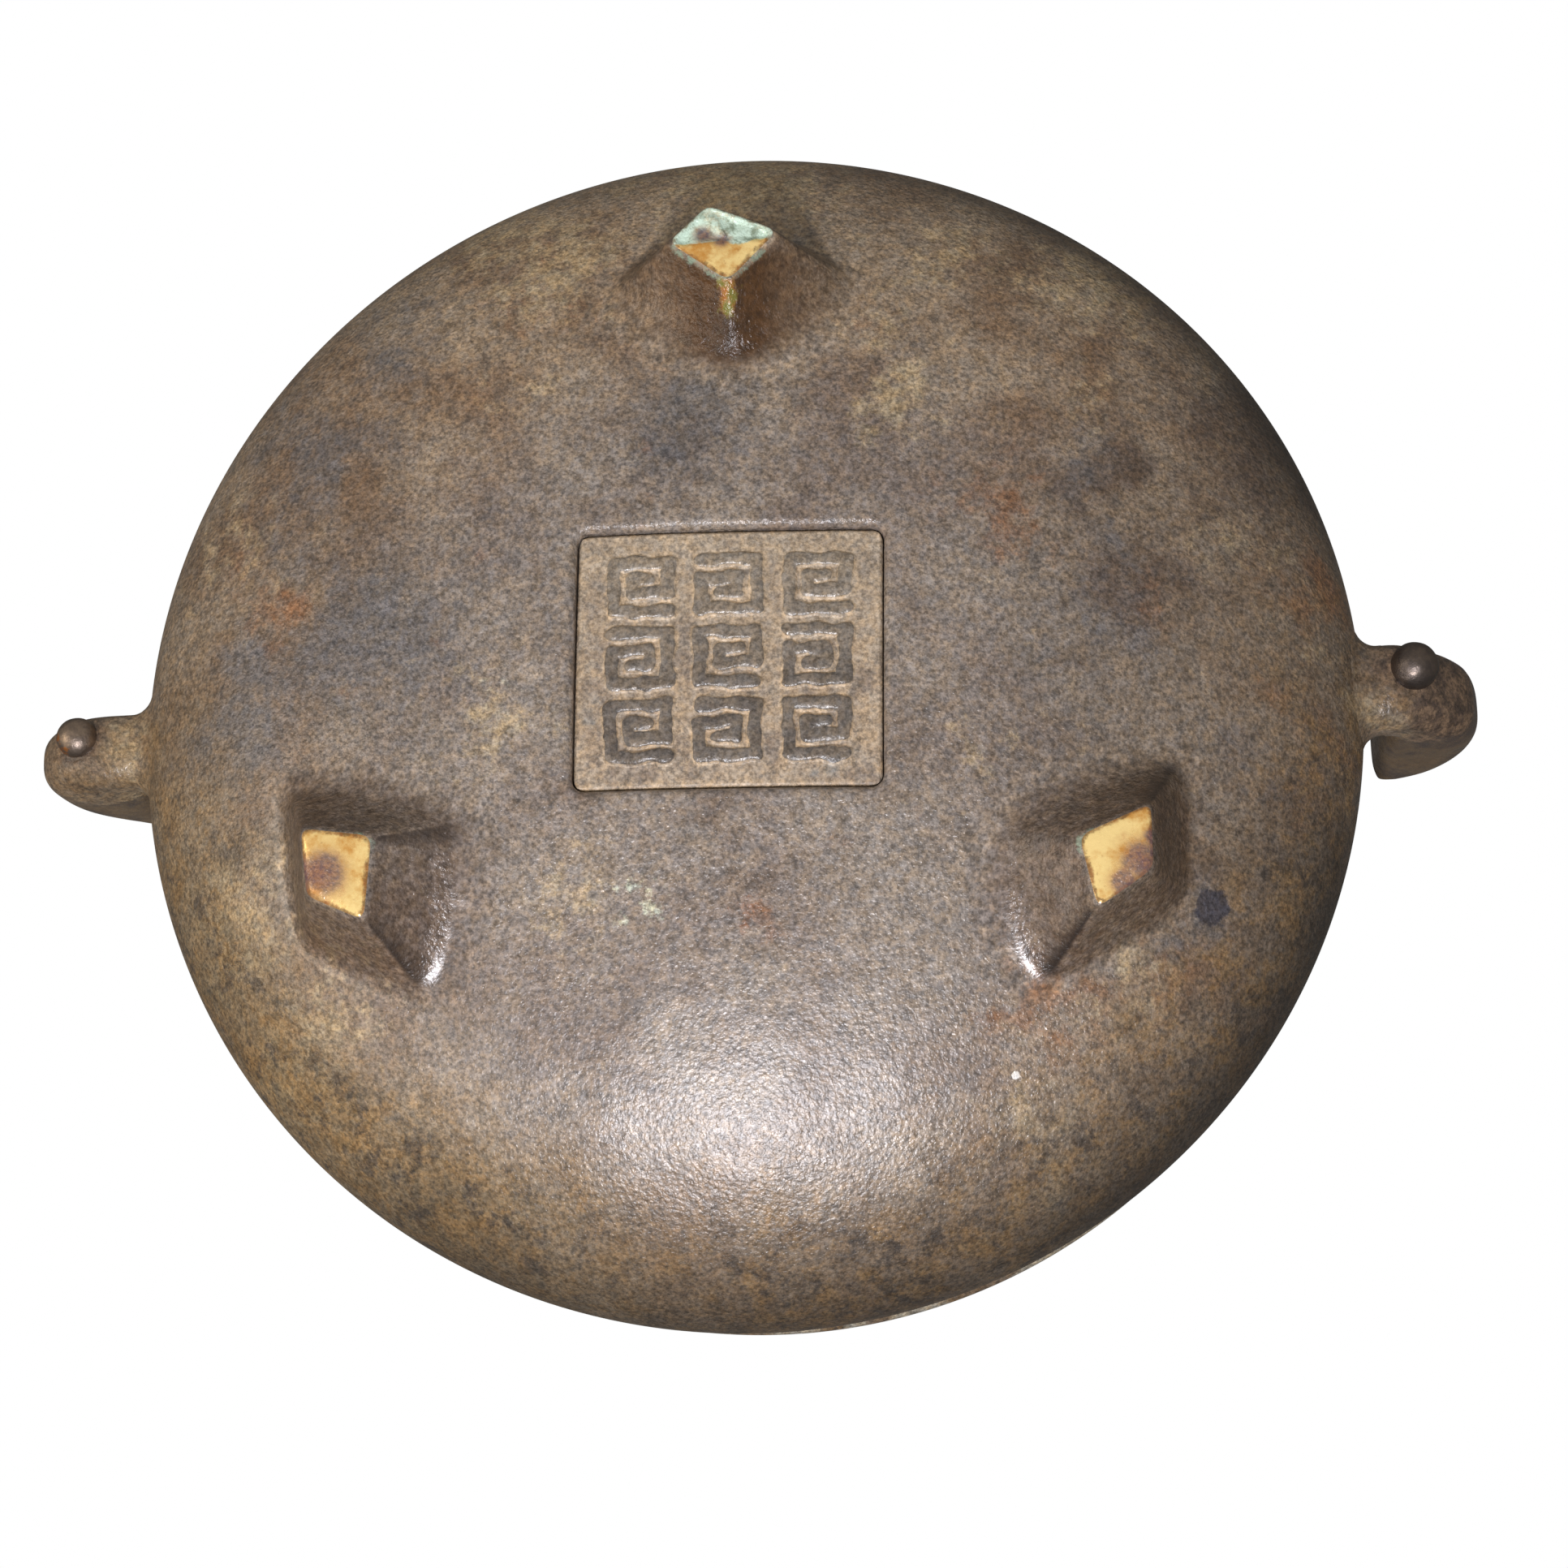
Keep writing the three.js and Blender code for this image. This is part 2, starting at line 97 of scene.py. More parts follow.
# Soft-edged stains on the underside: x, y, radius in mm and strength. The dark ones are partly dark patina
# and partly painted shade near the belly's edge and on its -x side; the pale ones are partly tan dust and
# partly painted light near the +y edge
stains = {
    "cool": [(44, 5, 13, 1.0), (57, 3, 8, 1.0), (50, 19, 7, 0.6), (4, 30, 9, 0.7), (41, 47, 9, 0.6),
             (-59, -11, 6, 0.7), (-55, -31, 5, 1.0), (-43, 25, 8, 0.5), (-8, 60, 9, 0.4), (-46, 7, 9, 0.6),
             (50, 33, 10, 0.8), (60, -5, 8, 1.0)],
    "rust": [(55, 13, 5, 0.8), (-52, 5, 5, 0.6), (-33, 18, 6, 1.0), (-66, -18, 6, 0.7), (-16, 43, 5, 0.5),
             (-64, -5, 5, 0.6), (-2, -31, 3, 0.8), (30, 60, 8, 0.4), (24, 51, 7, 0.8), (-71, 11, 6, 1.0),
             (-36, -41, 8, 0.9), (-54, -38, 8, 0.9), (-72, -9, 4, 0.8), (62, -38, 9, 0.6)],
    "pale": [(-18, 42, 7, 0.5), (-43, 34, 5, 0.6), (-60, 14, 6, 0.5), (22, 55, 9, 0.9), (29, -6, 8, 0.6),
             (19, -28, 7, 0.6), (60, -27, 9, 0.9), (50, -38, 8, 0.9), (-67, 2, 6, 0.4), (-47, -41, 8, 0.7),
             (64, 22, 9, 0.6), (0, 68, 14, 1.0), (30, 62, 11, 0.8), (77, -2, 5, 1.0), (-77, -2, 5, 1.0),
             (27, 38, 7, 0.4), (-20, 31, 6, 0.9), (-32, -10, 8, 0.4), (57, -45, 9, 1.0), (-27, 55, 7, 0.8),
             (-44, 50, 9, 0.9), (-34, -58, 9, 0.8), (24, 56, 7, 0.8)],
    "dark": [(-63, 30, 11, 1.0), (-52, -20, 9, 0.5), (-67, -16, 8, 0.8), (-43, 23, 7, 1.0), (6, 29, 8, 0.5),
             (-24, -66, 11, 0.5), (0, -68, 12, 0.5), (64, -6, 6, 0.8), (-49, 8, 8, 0.9), (-61, -42, 8, 0.8),
             (4, -18, 9, 0.4), (-62, 22, 7, 0.7), (45, 8, 8, 0.5), (30, -66, 9, 0.7)],
}


def stainLayers(points):
    x, y, z = points.T
    x = x + 2.2 * ripple(y, z, 11, 0.9) + 0.8 * ripple(y, x, 4.3, 2.9)
    y = y + 2.2 * ripple(x, z, 12, 3.3) + 0.8 * ripple(x, y, 4.1, 5.1)
    layers = {}
    for tone, spots in stains.items():
        total = np.zeros(len(points))
        for spotX, spotY, radius, strength in spots:
            total = np.maximum(total, strength * np.exp(-((x - spotX) ** 2 + (y - spotY) ** 2) / radius ** 2))
        layers[tone] = total
    layers["middle"] = 1 - smoothStep(np.hypot(x, y + 12), 38, 62)
    # the flanks are painted shade: darker at both sides of the underside and most on the -x side
    layers["flank"] = smoothStep(np.abs(x), 24, 46) * (1 - smoothStep(np.abs(y + 5), 20, 45))
    layers["flank"] *= 1.25 - 0.35 * np.tanh(x / 20)
    # golden olive round the lower belly away from the back foot, and plain brown beside it; both are real
    # patina whose darkness is partly painted shade on the lower, -y side
    lower = smoothStep(np.hypot(x, y), 56, 70) * smoothStep(-y + 0.1 * np.abs(x) - 0.05 * x, -22, 35)
    layers["olive"] = lower * smoothStep(x, -12, 40)
    layers["lower"] = lower * (1 - smoothStep(x, -12, 40))
    # painted shade along the widest part of the belly, heaviest on one side between the handle and the feet,
    # and near the edge on the -y side
    side = (0.2 + 0.8 * smoothStep(-x, 5, 45)) * smoothStep(np.abs(y), 8, 26)
    side = np.maximum(side, 0.7 * smoothStep(-y, 45, 66))
    layers["paintedEdgeShade"] = smoothStep(z, 12, 27) * (1 - smoothStep(z, 34, 46)) * side
    # the lip's pale outer edge is a painted reflection
    edge = smoothStep(z, 50, 54) * (1 - smoothStep(z, 56, 56.7))
    layers["lip"] = smoothStep(np.hypot(x, y), 70.2, 70.9) * edge
    layers["polish"] = np.exp(-((x - 2) / 36) ** 2 - ((y + 47) / 22) ** 2)
    return layers


def gridFaces(rows, columns, closed):
    a = np.arange(rows - 1)[:, None] * columns + np.arange(columns if closed else columns - 1)[None, :]
    right = np.arange(rows - 1)[:, None] * columns + (np.arange(a.shape[1])[None, :] + 1) % columns
    return np.stack([a, right, right + columns, a + columns], axis=-1).reshape(-1, 4)


def makePiece(name, points, faces, material, node, layers=None):
    # points in mm; faces as lists of point numbers; layers are named values for each point
    points = np.asarray(points, float)
    firsts = np.array([face[:3] for face in faces])
    corners = points[firsts]
    spans = np.cross(corners[:, 1], corners[:, 2])
    whole = np.array([2.0 if len(face) == 4 else 1.0 for face in faces])
    if float((np.einsum("ij,ij->i", corners[:, 0], spans) * whole).sum()) < 0:
        faces = [face[::-1] for face in faces]
    mesh = bpy.data.meshes.new(name)
    mesh.from_pydata((points * mm).tolist(), [], [list(map(int, face)) for face in faces])
    layers = dict(layers or {})
    layers.update(stainLayers(points))
    for layer, values in layers.items():
        attribute = mesh.attributes.new(layer, "FLOAT", "POINT")
        attribute.data.foreach_set("value", np.asarray(values, np.float32))
    mesh.shade_smooth()
    mesh.materials.append(material)
    piece = bpy.data.objects.new(name, mesh)
    scene.collection.objects.link(piece)
    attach(piece, "root")
    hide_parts(node)
    return piece


def ringPiece(name, rings, material, node, layers=None, first=None, last=None):
    # a closed skin over rings of points, with one point in the middle of each end
    rings = np.asarray(rings, float)
    rows, columns = rings.shape[:2]
    first = rings[0].mean(0) if first is None else first
    last = rings[-1].mean(0) if last is None else last
    points = np.vstack([rings.reshape(-1, 3), first, last])
    faces = [list(f) for f in gridFaces(rows, columns, True)]
    for i in range(columns):
        after = (i + 1) % columns
        faces.append([rows * columns, after, i])
        faces.append([rows * columns + 1, (rows - 1) * columns + i, (rows - 1) * columns + after])
    values = {}
    for layer, grid in (layers or {}).items():
        grid = np.asarray(grid, float).reshape(-1)
        values[layer] = np.concatenate([grid, [grid[:columns].mean(), grid[-columns:].mean()]])
    return makePiece(name, points, faces, material, node, values)


print("helpers ready")


# The bowl's shape in mm, from the frame where the frame says it

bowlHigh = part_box("bowl")[1]
bowl = {
    "bellyRadius": bowlHigh.y / mm,
    "bellyHeight": 30.0,
    "lipHeight": bowlHigh.z / mm,
    "baseHeight": 2.6,
    "fullness": 2.14,
    "shoulderReach": 11.0,
    "shoulderRise": 13.0,
    "shoulderTurn": 58.0,
    "neckCurve": 6.5,
    "lipRadius": 71.4,
    "lipThickness": 3.0,
    "lipFlat": 3.6,
    "wall": 3.8,
    "floorThickness": 5.4,
    "around": 384,
}
# The seat's top lies seatGap above the panel's thickness, and the panel's back backGap above it
panel = {
    "width": 36.0,
    "depth": 31.6,
    "corner": 1.4,
    "turn": 1.8,
    "sink": 1.1,
    "seam": 0.2,
    "rimRound": 1.15,
    "thickness": 1.9,
    "seatGap": 1.4,
    "backGap": 1.1,
    "border": 2.4,
    "relief": 0.55,
    "columns": 3,
    "rows": 3,
    "line": 1.4,
    "space": 0.8,
    "gapX": 2.4,
    "gapY": 1.35,
    "step": 0.15,
}


def undersideHeight(radius, reach=None, lowest=None):
    reach = bowl["bellyRadius"] if reach is None else reach
    lowest = bowl["baseHeight"] if lowest is None else lowest
    share = np.minimum(np.asarray(radius, float) / reach, 1) ** bowl["fullness"]
    return bowl["bellyHeight"] - (bowl["bellyHeight"] - lowest) * (1 - share) ** (1 / bowl["fullness"])


def skinHeight(x, y):
    # the underside as cast, a tenth of a millimetre uneven, fading out at the belly
    radius = np.hypot(x, y)
    uneven = 0.09 * ripple(x, y, 23, 0.4) + 0.035 * ripple(x, y, 8, 1.9)
    return undersideHeight(radius) + uneven * (1 - smoothStep(radius, 58, 73))


def bellyAt(height):
    rise = np.asarray(height, float) - bowl["bellyHeight"]
    up = np.clip(rise / bowl["shoulderRise"], 0, 1)
    above = bowl["bellyRadius"] - bowl["shoulderReach"] * (1 - np.sqrt(1 - up * up))
    down = np.clip(-rise / (bowl["bellyHeight"] - bowl["baseHeight"]), 0, 1) ** bowl["fullness"]
    below = bowl["bellyRadius"] * (1 - down) ** (1 / bowl["fullness"])
    return np.where(rise > 0, above, below)


def underside(reach, lowest, count, start=0.0):
    # radius and height from the middle, or from a starting radius, out to the belly
    begin = math.asin(min(start / reach, 1) ** (bowl["fullness"] / 2))
    turns = np.linspace(begin, math.pi / 2, count + 1)
    radius = reach * np.sin(turns) ** (2 / bowl["fullness"])
    return list(zip(radius, undersideHeight(radius, reach, lowest)))


def shoulderAndNeck(inset, neckEnd, steps):
    end = math.radians(bowl["shoulderTurn"])
    turns = np.linspace(0, end, steps + 1)[1:]
    radii = bowl["bellyRadius"] - inset - bowl["shoulderReach"] * (1 - np.cos(turns))
    heights = bowl["bellyHeight"] + bowl["shoulderRise"] * np.sin(turns)
    points = list(zip(radii, heights))
    slope = math.atan2(bowl["shoulderRise"] * math.cos(end), -bowl["shoulderReach"] * math.sin(end))
    hollow = bowl["neckCurve"] + inset
    middle = (radii[-1] + hollow * math.sin(slope), heights[-1] - hollow * math.cos(slope))
    turns = np.linspace(slope + math.pi / 2, math.radians(neckEnd), steps + 1)[1:]
    points += [(middle[0] + hollow * math.cos(t), middle[1] + hollow * math.sin(t)) for t in turns]
    return points


def lipProfile(steps):
    half = bowl["lipThickness"] / 2
    middle = (bowl["lipRadius"] - half, bowl["lipHeight"] - half)
    turns = np.radians(np.linspace(-50, 90, steps + 1))
    points = [(middle[0] + half * math.cos(t), middle[1] + half * math.sin(t)) for t in turns]
    edge = bowl["lipThickness"] / 3
    inner = middle[0] - bowl["lipFlat"]
    turns = np.radians(np.linspace(90, 180, steps // 2 + 1))
    return points + [
        (inner + edge + edge * math.cos(t), bowl["lipHeight"] - edge + edge * math.sin(t)) for t in turns
    ]


def panelFrame(x, y):
    # bowl coordinates to the panel's own, which is turned a little
    turn = math.radians(panel["turn"])
    return x * math.cos(turn) + y * math.sin(turn), -x * math.sin(turn) + y * math.cos(turn)


def panelDistance(x, y, grow=0.0):
    # how far a point lies outside the panel's rounded outline, negative inside
    across, along = panelFrame(x, y)
    corner = panel["corner"]
    beyondX = np.abs(across) - (panel["width"] / 2 - corner)
    beyondY = np.abs(along) - (panel["depth"] / 2 - corner)
    outside = np.hypot(np.maximum(beyondX, 0), np.maximum(beyondY, 0))
    return outside + np.minimum(np.maximum(beyondX, beyondY), 0) - corner - grow


def panelReach(turns, grow):
    # distance from the middle to the outline, grown by some width, in each direction
    low = np.zeros_like(turns)
    high = np.full_like(turns, 60.0)
    for _ in range(40):
        middle = (low + high) / 2
        outside = panelDistance(middle * np.cos(turns), middle * np.sin(turns), grow) > 0
        high = np.where(outside, middle, high)
        low = np.where(outside, low, middle)
    return (low + high) / 2


# Materials

finish = {
    "base": "#8f7e6b",
    "brown": "#725c48",
    "dark": "#53443a",
    "middle": "#74706f",
    "cool": "#605c5b",
    "rust": "#7a5233",
    "pale": "#ac9878",
    # the flank colour is painted shade on the sides of the underside
    "flank": "#5c5045",
    # olive and lower are real patina, darkened partly as painted shade
    "olive": "#715f44",
    "lower": "#635445",
    "ochre": "#80643f",
    "freckle": "#38322f",
    # the next colour is painted shade for the belly's edge
    "paintedEdgeShade": "#2a241e",
    # the lip colour is a painted reflection on its outer edge
    "lip": "#a29b8b",
    "grain": 0.23,
}
# Single marks on the underside: place in mm, radius in mm, colour and how broken up it is
marks = [
    ((-54.9, -30.4, 14.0), 3.0, "#37343a", 0.54),
    ((-31.3, -49.6, 12.0), 0.6, "#d8d3cc", 0.45),
    ((11.0, -28.6, 4.5), 7.0, "#b8baa4", 0.82),
    ((26.6, -3.1, 4.1), 6.0, "#aaa390", 0.84),
    ((-1.3, -31.0, 4.7), 4.0, "#80563a", 0.78),
    ((-12.0, -56.0, 14.0), 14.0, "#3c332b", 0.84),
    ((-62.0, -20.0, 18.0), 14.0, "#3c332b", 0.83),
]


def cloud(tree, place, size, detail=5.0, roughness=0.6, offset=0.0):
    # noise whose clouds are about that many mm across
    inputs = [("Vector", place), ("W", offset), ("Scale", 0.5 / size)]
    inputs += [("Detail", detail), ("Roughness", roughness)]
    return addNode(tree, "ShaderNodeTexNoise", inputs, noise_dimensions="4D").outputs["Fac"]


def spread(tree, value, low, high, top=1.0, bottom=0.0):
    return addNode(
        tree, "ShaderNodeMapRange",
        [("Value", value), ("From Min", low), ("From Max", high), ("To Min", bottom), ("To Max", top)],
        interpolation_type="SMOOTHSTEP",
    ).outputs["Result"]


def blendColour(tree, share, under, over, kind="MIX"):
    under = linear(under) if isinstance(under, str) else under
    over = linear(over) if isinstance(over, str) else over
    return addNode(
        tree, "ShaderNodeMix", [(0, share), (6, under), (7, over)], data_type="RGBA", blend_type=kind
    ).outputs[2]


def combine(tree, kind, a, b):
    return addNode(tree, "ShaderNodeMath", [(0, a), (1, b)], operation=kind).outputs[0]


def product(tree, a, b):
    return combine(tree, "MULTIPLY", a, b)


def pointValue(tree, layer):
    return addNode(tree, "ShaderNodeAttribute", attribute_name=layer).outputs["Fac"]


def layerShare(tree, layer, amount):
    return product(tree, pointValue(tree, layer), amount)


def stainShare(tree, place, layer, size, offset, base):
    # a stain layer broken up by noise, plus a few stray patches of its own
    mixed = combine(tree, "ADD", layerShare(tree, layer, 0.3), cloud(tree, place, size, 8, 0.72, offset))
    return spread(tree, mixed, base - 0.03, base + 0.22, 0.75)


def layerOnNoise(tree, layer, weight, noiseValue, low, high, top=1.0):
    # a point layer whose edge is broken up by noise, and nothing where the layer is zero
    strength = pointValue(tree, layer)
    mixed = combine(tree, "ADD", product(tree, strength, weight), noiseValue)
    share = spread(tree, mixed, low, high, top)
    return product(tree, share, spread(tree, strength, 0.0, 0.25))


def mottled(tree, colour, place, size, offset, share, detail=3.0):
    # the same colour lighter and darker in patches of about that many mm
    patches = spread(tree, cloud(tree, place, size, detail, 0.65, offset), 0.3, 0.7)
    return blendColour(tree, share, colour, patches, "OVERLAY")


def tinted(tree, colour, place, size, offset, share):
    # warmer and cooler in patches of about that many mm
    patches = spread(tree, cloud(tree, place, size, 6, 0.68, offset), 0.36, 0.64)
    return blendColour(tree, share, colour, blendColour(tree, patches, "#b0bccb", "#cabb9d"), "OVERLAY")


def markShare(tree, place, middle, radius, broken):
    # whole in the middle and broken up towards the edge, or only speckles
    away = addNode(
        tree, "ShaderNodeVectorMath", [(0, place), (1, middle)], operation="DISTANCE"
    ).outputs["Value"]
    inside = spread(tree, away, radius * 0.4, radius, 0.0, 0.3)
    rough = combine(tree, "ADD", inside, cloud(tree, place, min(radius, 1.2), 6, 0.75, 25.0))
    share = spread(tree, rough, broken, broken + 0.15, 0.9)
    return product(tree, share, spread(tree, inside, 0.0, 0.05))


def bronzeColour(tree, place, spots=()):
    # grey-brown patina clouded with brown, blue-grey, rust and tan dust, with a few dark freckles; the darker
    # flanks and the dark edge are painted shade, the darker lower belly is partly painted shade, and some
    # dark and pale stains are painted shade and painted light
    brown = spread(tree, cloud(tree, place, 8, 6, 0.6, 1.0), 0.38, 0.66)
    colour = blendColour(tree, brown, finish["base"], finish["brown"])
    # the middle is a greyer tone; the flank adds painted shade at the sides
    for layer, share in (("middle", 0.5), ("flank", 0.33)):
        zone = layerShare(tree, layer, share)
        colour = blendColour(tree, zone, colour, finish[layer])
    for tone, size, offset, base in (
        ("dark", 3.0, 6.0, 0.58), ("cool", 3.6, 4.0, 0.58),
        ("rust", 2.6, 8.0, 0.62), ("pale", 1.5, 12.0, 0.62),
    ):
        colour = blendColour(tree, stainShare(tree, place, tone, size, offset, base), colour, finish[tone])
    ochre = spread(tree, cloud(tree, place, 2.2, 8, 0.75, 65.0), 0.46, 0.6, 0.7)
    clots = spread(tree, cloud(tree, place, 1.6, 8, 0.75, 69.0), 0.51, 0.61, 0.72)
    # olive and lower patina, its darkness partly painted shade on the lower side
    for layer in ("olive", "lower"):
        zone = pointValue(tree, layer)
        colour = blendColour(tree, product(tree, zone, 0.75), colour, finish[layer])
        colour = blendColour(tree, product(tree, zone, ochre), colour, finish["ochre"])
        colour = blendColour(tree, product(tree, zone, clots), colour, finish["freckle"])
    freckles = spread(tree, cloud(tree, place, 1.1, 7, 0.75, 15.0), 0.57, 0.7, 0.6)
    colour = blendColour(tree, freckles, colour, finish["freckle"])
    for middle, radius, tone, broken in spots:
        colour = blendColour(tree, markShare(tree, place, middle, radius, broken), colour, tone)
    # painted shade darkening the belly near its widest part and its edge
    paintedEdgeShade = layerShare(tree, "paintedEdgeShade", 0.85)
    colour = blendColour(tree, paintedEdgeShade, colour, finish["paintedEdgeShade"])
    # pale painted reflection along the lip's outer edge
    worn = layerOnNoise(tree, "lip", 0.5, cloud(tree, place, 1.0, 8, 0.75, 67.0), 0.72, 1.15, 0.85)
    colour = blendColour(tree, worn, colour, finish["lip"])
    colour = tinted(tree, colour, place, 0.6, 35.0, 0.4)
    colour = mottled(tree, colour, place, 1.1, 33.0, 0.2, 8.0)
    return mottled(tree, colour, place, finish["grain"], 31.0, 0.5)


def bronzeMaterial(name, metallic=0.05, gloss=(0.27, 0.43), grain=0.2):
    # satin dielectric-like oxide over bronze: the sheen is nearly white, broken into sparkles by
    # the sand-cast grain
    material = bpy.data.materials.new(name)
    material.use_nodes = True
    tree = material.node_tree
    shader = tree.nodes["Principled BSDF"]
    inMetres = addNode(tree, "ShaderNodeTexCoord").outputs["Object"]
    place = addNode(
        tree, "ShaderNodeVectorMath", [(0, inMetres), (3, 1 / mm)], operation="SCALE"
    ).outputs[0]
    shine = spread(tree, cloud(tree, place, 0.5, 5, 0.8, 23.0), 0.35, 0.65, *gloss[::-1])
    height = combine(tree, "ADD", cloud(tree, place, finish["grain"], 2, 0.5, 2.0),
                     product(tree, cloud(tree, place, 1.1, 3, 0.6, 5.0), 0.65))
    bump = addNode(tree, "ShaderNodeBump", [("Strength", 1.0), ("Distance", grain * mm), ("Height", height)])
    tree.links.new(shine, shader.inputs["Roughness"])
    tree.links.new(bump.outputs["Normal"], shader.inputs["Normal"])
    shader.inputs["Metallic"].default_value = metallic
    return material, tree, shader, place


def changeRoughness(tree, shader, kind, amount):
    shine = shader.inputs["Roughness"].links[0].from_socket
    tree.links.new(combine(tree, kind, shine, amount), shader.inputs["Roughness"])


def wearGrain(tree, shader, worn, left):
    # the grain's height, down to a share that is left of it where the bronze is worn
    bump = shader.inputs["Normal"].links[0].from_node
    tree.links.new(spread(tree, worn, 0, 1, left, 1.0), bump.inputs["Strength"])


def plainBronze():
    material, tree, shader, place = bronzeMaterial("cast bronze, brown patina")
    tree.links.new(bronzeColour(tree, place, marks), shader.inputs["Base Color"])
    # the grain is worn down and evened low on the belly where it is wiped, and the painted edge shade is made
    # duller
    shine = shader.inputs["Roughness"].links[0].from_socket
    uneven = combine(tree, "SUBTRACT", shine, 0.36)
    changeRoughness(tree, shader, "SUBTRACT", product(tree, uneven, layerShare(tree, "polish", 0.6)))
    changeRoughness(tree, shader, "ADD", layerShare(tree, "paintedEdgeShade", 0.2))
    wearGrain(tree, shader, pointValue(tree, "polish"), 0.5)
    return material


def footMaterial():
    # the same patina, darker on the foot's faces (partly patina, partly painted shade), with painted shadow
    # beside some ridges, thin broken verdigris round the tip, and the tip itself rubbed to bright gold with
    # orange rims and soft purple-brown tarnish
    material, tree, shader, place = bronzeMaterial("cast bronze foot, rubbed tip")
    mottle = cloud(tree, place, 0.9, 6, 0.7, 41.0)
    fine = cloud(tree, place, 0.35, 4, 0.7, 47.0)
    broad = cloud(tree, place, 2.2, 6, 0.65, 45.0)
    # the faces' darkening is partly patina and partly painted shade
    colour = blendColour(tree, pointValue(tree, "face"), bronzeColour(tree, place), "#482f16")
    colour = mottled(tree, colour, place, 0.5, 49.0, 0.35)
    colour = blendColour(tree, pointValue(tree, "shadow"), colour, "#261d18")
    green = layerOnNoise(tree, "edge", 0.3, cloud(tree, place, 0.8, 7, 0.75, 43.0), 0.74, 0.9, 0.85)
    colour = blendColour(tree, green, colour, "#7f8f7b")
    ochre = blendColour(tree, spread(tree, mottle, 0.4, 0.6), "#b0691c", "#77742f")
    colour = blendColour(tree, layerOnNoise(tree, "streak", 0.4, mottle, 0.62, 0.86, 0.8), colour, ochre)
    rubbed = blendColour(tree, spread(tree, broad, 0.36, 0.56), "#cf9344", "#fbdc93")
    rubbed = blendColour(tree, spread(tree, fine, 0.58, 0.72, 0.45), rubbed, "#8f5628")
    rubbed = blendColour(tree, layerOnNoise(tree, "rim", 0.34, mottle, 0.68, 0.95, 0.85), rubbed, "#96572a")
    mint = layerOnNoise(tree, "dish", 0.5, broad, 0.78, 0.98)
    crust = blendColour(tree, spread(tree, mottle, 0.44, 0.62, 0.8), "#c6dbc9", "#6b765c")
    rubbed = blendColour(tree, mint, rubbed, crust)
    rubbed = blendColour(tree, layerOnNoise(tree, "rim", 0.34, fine, 0.72, 0.95, 0.7), rubbed, "#775f3a")
    # purple-brown tarnish in an orange-brown ring
    tarnish = layerOnNoise(tree, "tarnish", 0.62, broad, 0.62, 1.0, 0.9)
    purple = blendColour(tree, spread(tree, fine, 0.4, 0.6), "#54404a", "#805c4c")
    spot = blendColour(tree, spread(tree, pointValue(tree, "tarnish"), 0.3, 0.75), "#a05f2c", purple)
    rubbed = blendColour(tree, tarnish, rubbed, spot)
    ragged = combine(tree, "ADD", product(tree, mottle, 0.4), pointValue(tree, "tip"))
    tip = spread(tree, ragged, 0.6, 0.82)
    tree.links.new(blendColour(tree, tip, colour, rubbed), shader.inputs["Base Color"])
    dull = combine(tree, "SUBTRACT", 1.0, combine(tree, "MAXIMUM", mint, tarnish))
    bright = product(tree, tip, dull)
    tree.links.new(spread(tree, bright, 0, 1, 0.4, 0.05), shader.inputs["Metallic"])
    # rubbed smoother on the tip and where hands slide over the foot's root
    smooth = combine(tree, "ADD", product(tree, bright, 0.13), layerShare(tree, "root", 0.1))
    changeRoughness(tree, shader, "SUBTRACT", smooth)
    wearGrain(tree, shader, combine(tree, "MAXIMUM", pointValue(tree, "root"), bright), 0.2)
    return material


def panelMaterial():
    # tan dirt lies in the sunken ground and darker rubbed bronze shows on the raised lines
    material, tree, shader, place = bronzeMaterial("cast bronze panel, tan dirt", 0.05, (0.46, 0.6), 0.12)
    dirt = spread(tree, cloud(tree, place, 1.8, 7, 0.7, 51.0), 0.42, 0.62)
    ground = blendColour(tree, dirt, "#9c8a75", "#77695c")
    bare = spread(tree, cloud(tree, place, 3.0, 8, 0.75, 55.0), 0.54, 0.68, 0.8)
    ground = blendColour(tree, bare, ground, "#77746e")
    edge = layerShare(tree, "edge", 0.8)
    light = combine(tree, "MAXIMUM", pointValue(tree, "crease"), edge)
    light = product(tree, light, spread(tree, cloud(tree, place, 1.2, 6, 0.7, 57.0), 0.35, 0.6))
    ground = blendColour(tree, product(tree, light, 0.7), ground, "#b8a184")
    pits = spread(tree, cloud(tree, place, 0.9, 6, 0.72, 59.0), 0.56, 0.68, 0.65)
    ground = blendColour(tree, pits, ground, "#4d453c")
    rubbed = spread(tree, cloud(tree, place, 1.2, 6, 0.7, 61.0), 0.4, 0.65)
    strokes = blendColour(tree, rubbed, "#6b6259", "#4c4540")
    worn = layerOnNoise(tree, "raised", 1.0, cloud(tree, place, 0.7, 5, 0.7, 63.0), 0.8, 1.15, 0.95)
    colour = blendColour(tree, worn, ground, strokes)
    # paler towards the panel's +y side
    colour = blendColour(tree, layerShare(tree, "paleTowardsPlusY", 0.3), colour, "#b3a48f")
    colour = tinted(tree, colour, place, 0.6, 35.0, 0.35)
    tree.links.new(mottled(tree, colour, place, finish["grain"], 31.0, 0.45), shader.inputs["Base Color"])
    # the lines are rubbed smoother than the ground
    changeRoughness(tree, shader, "SUBTRACT", product(tree, worn, 0.2))
    return material


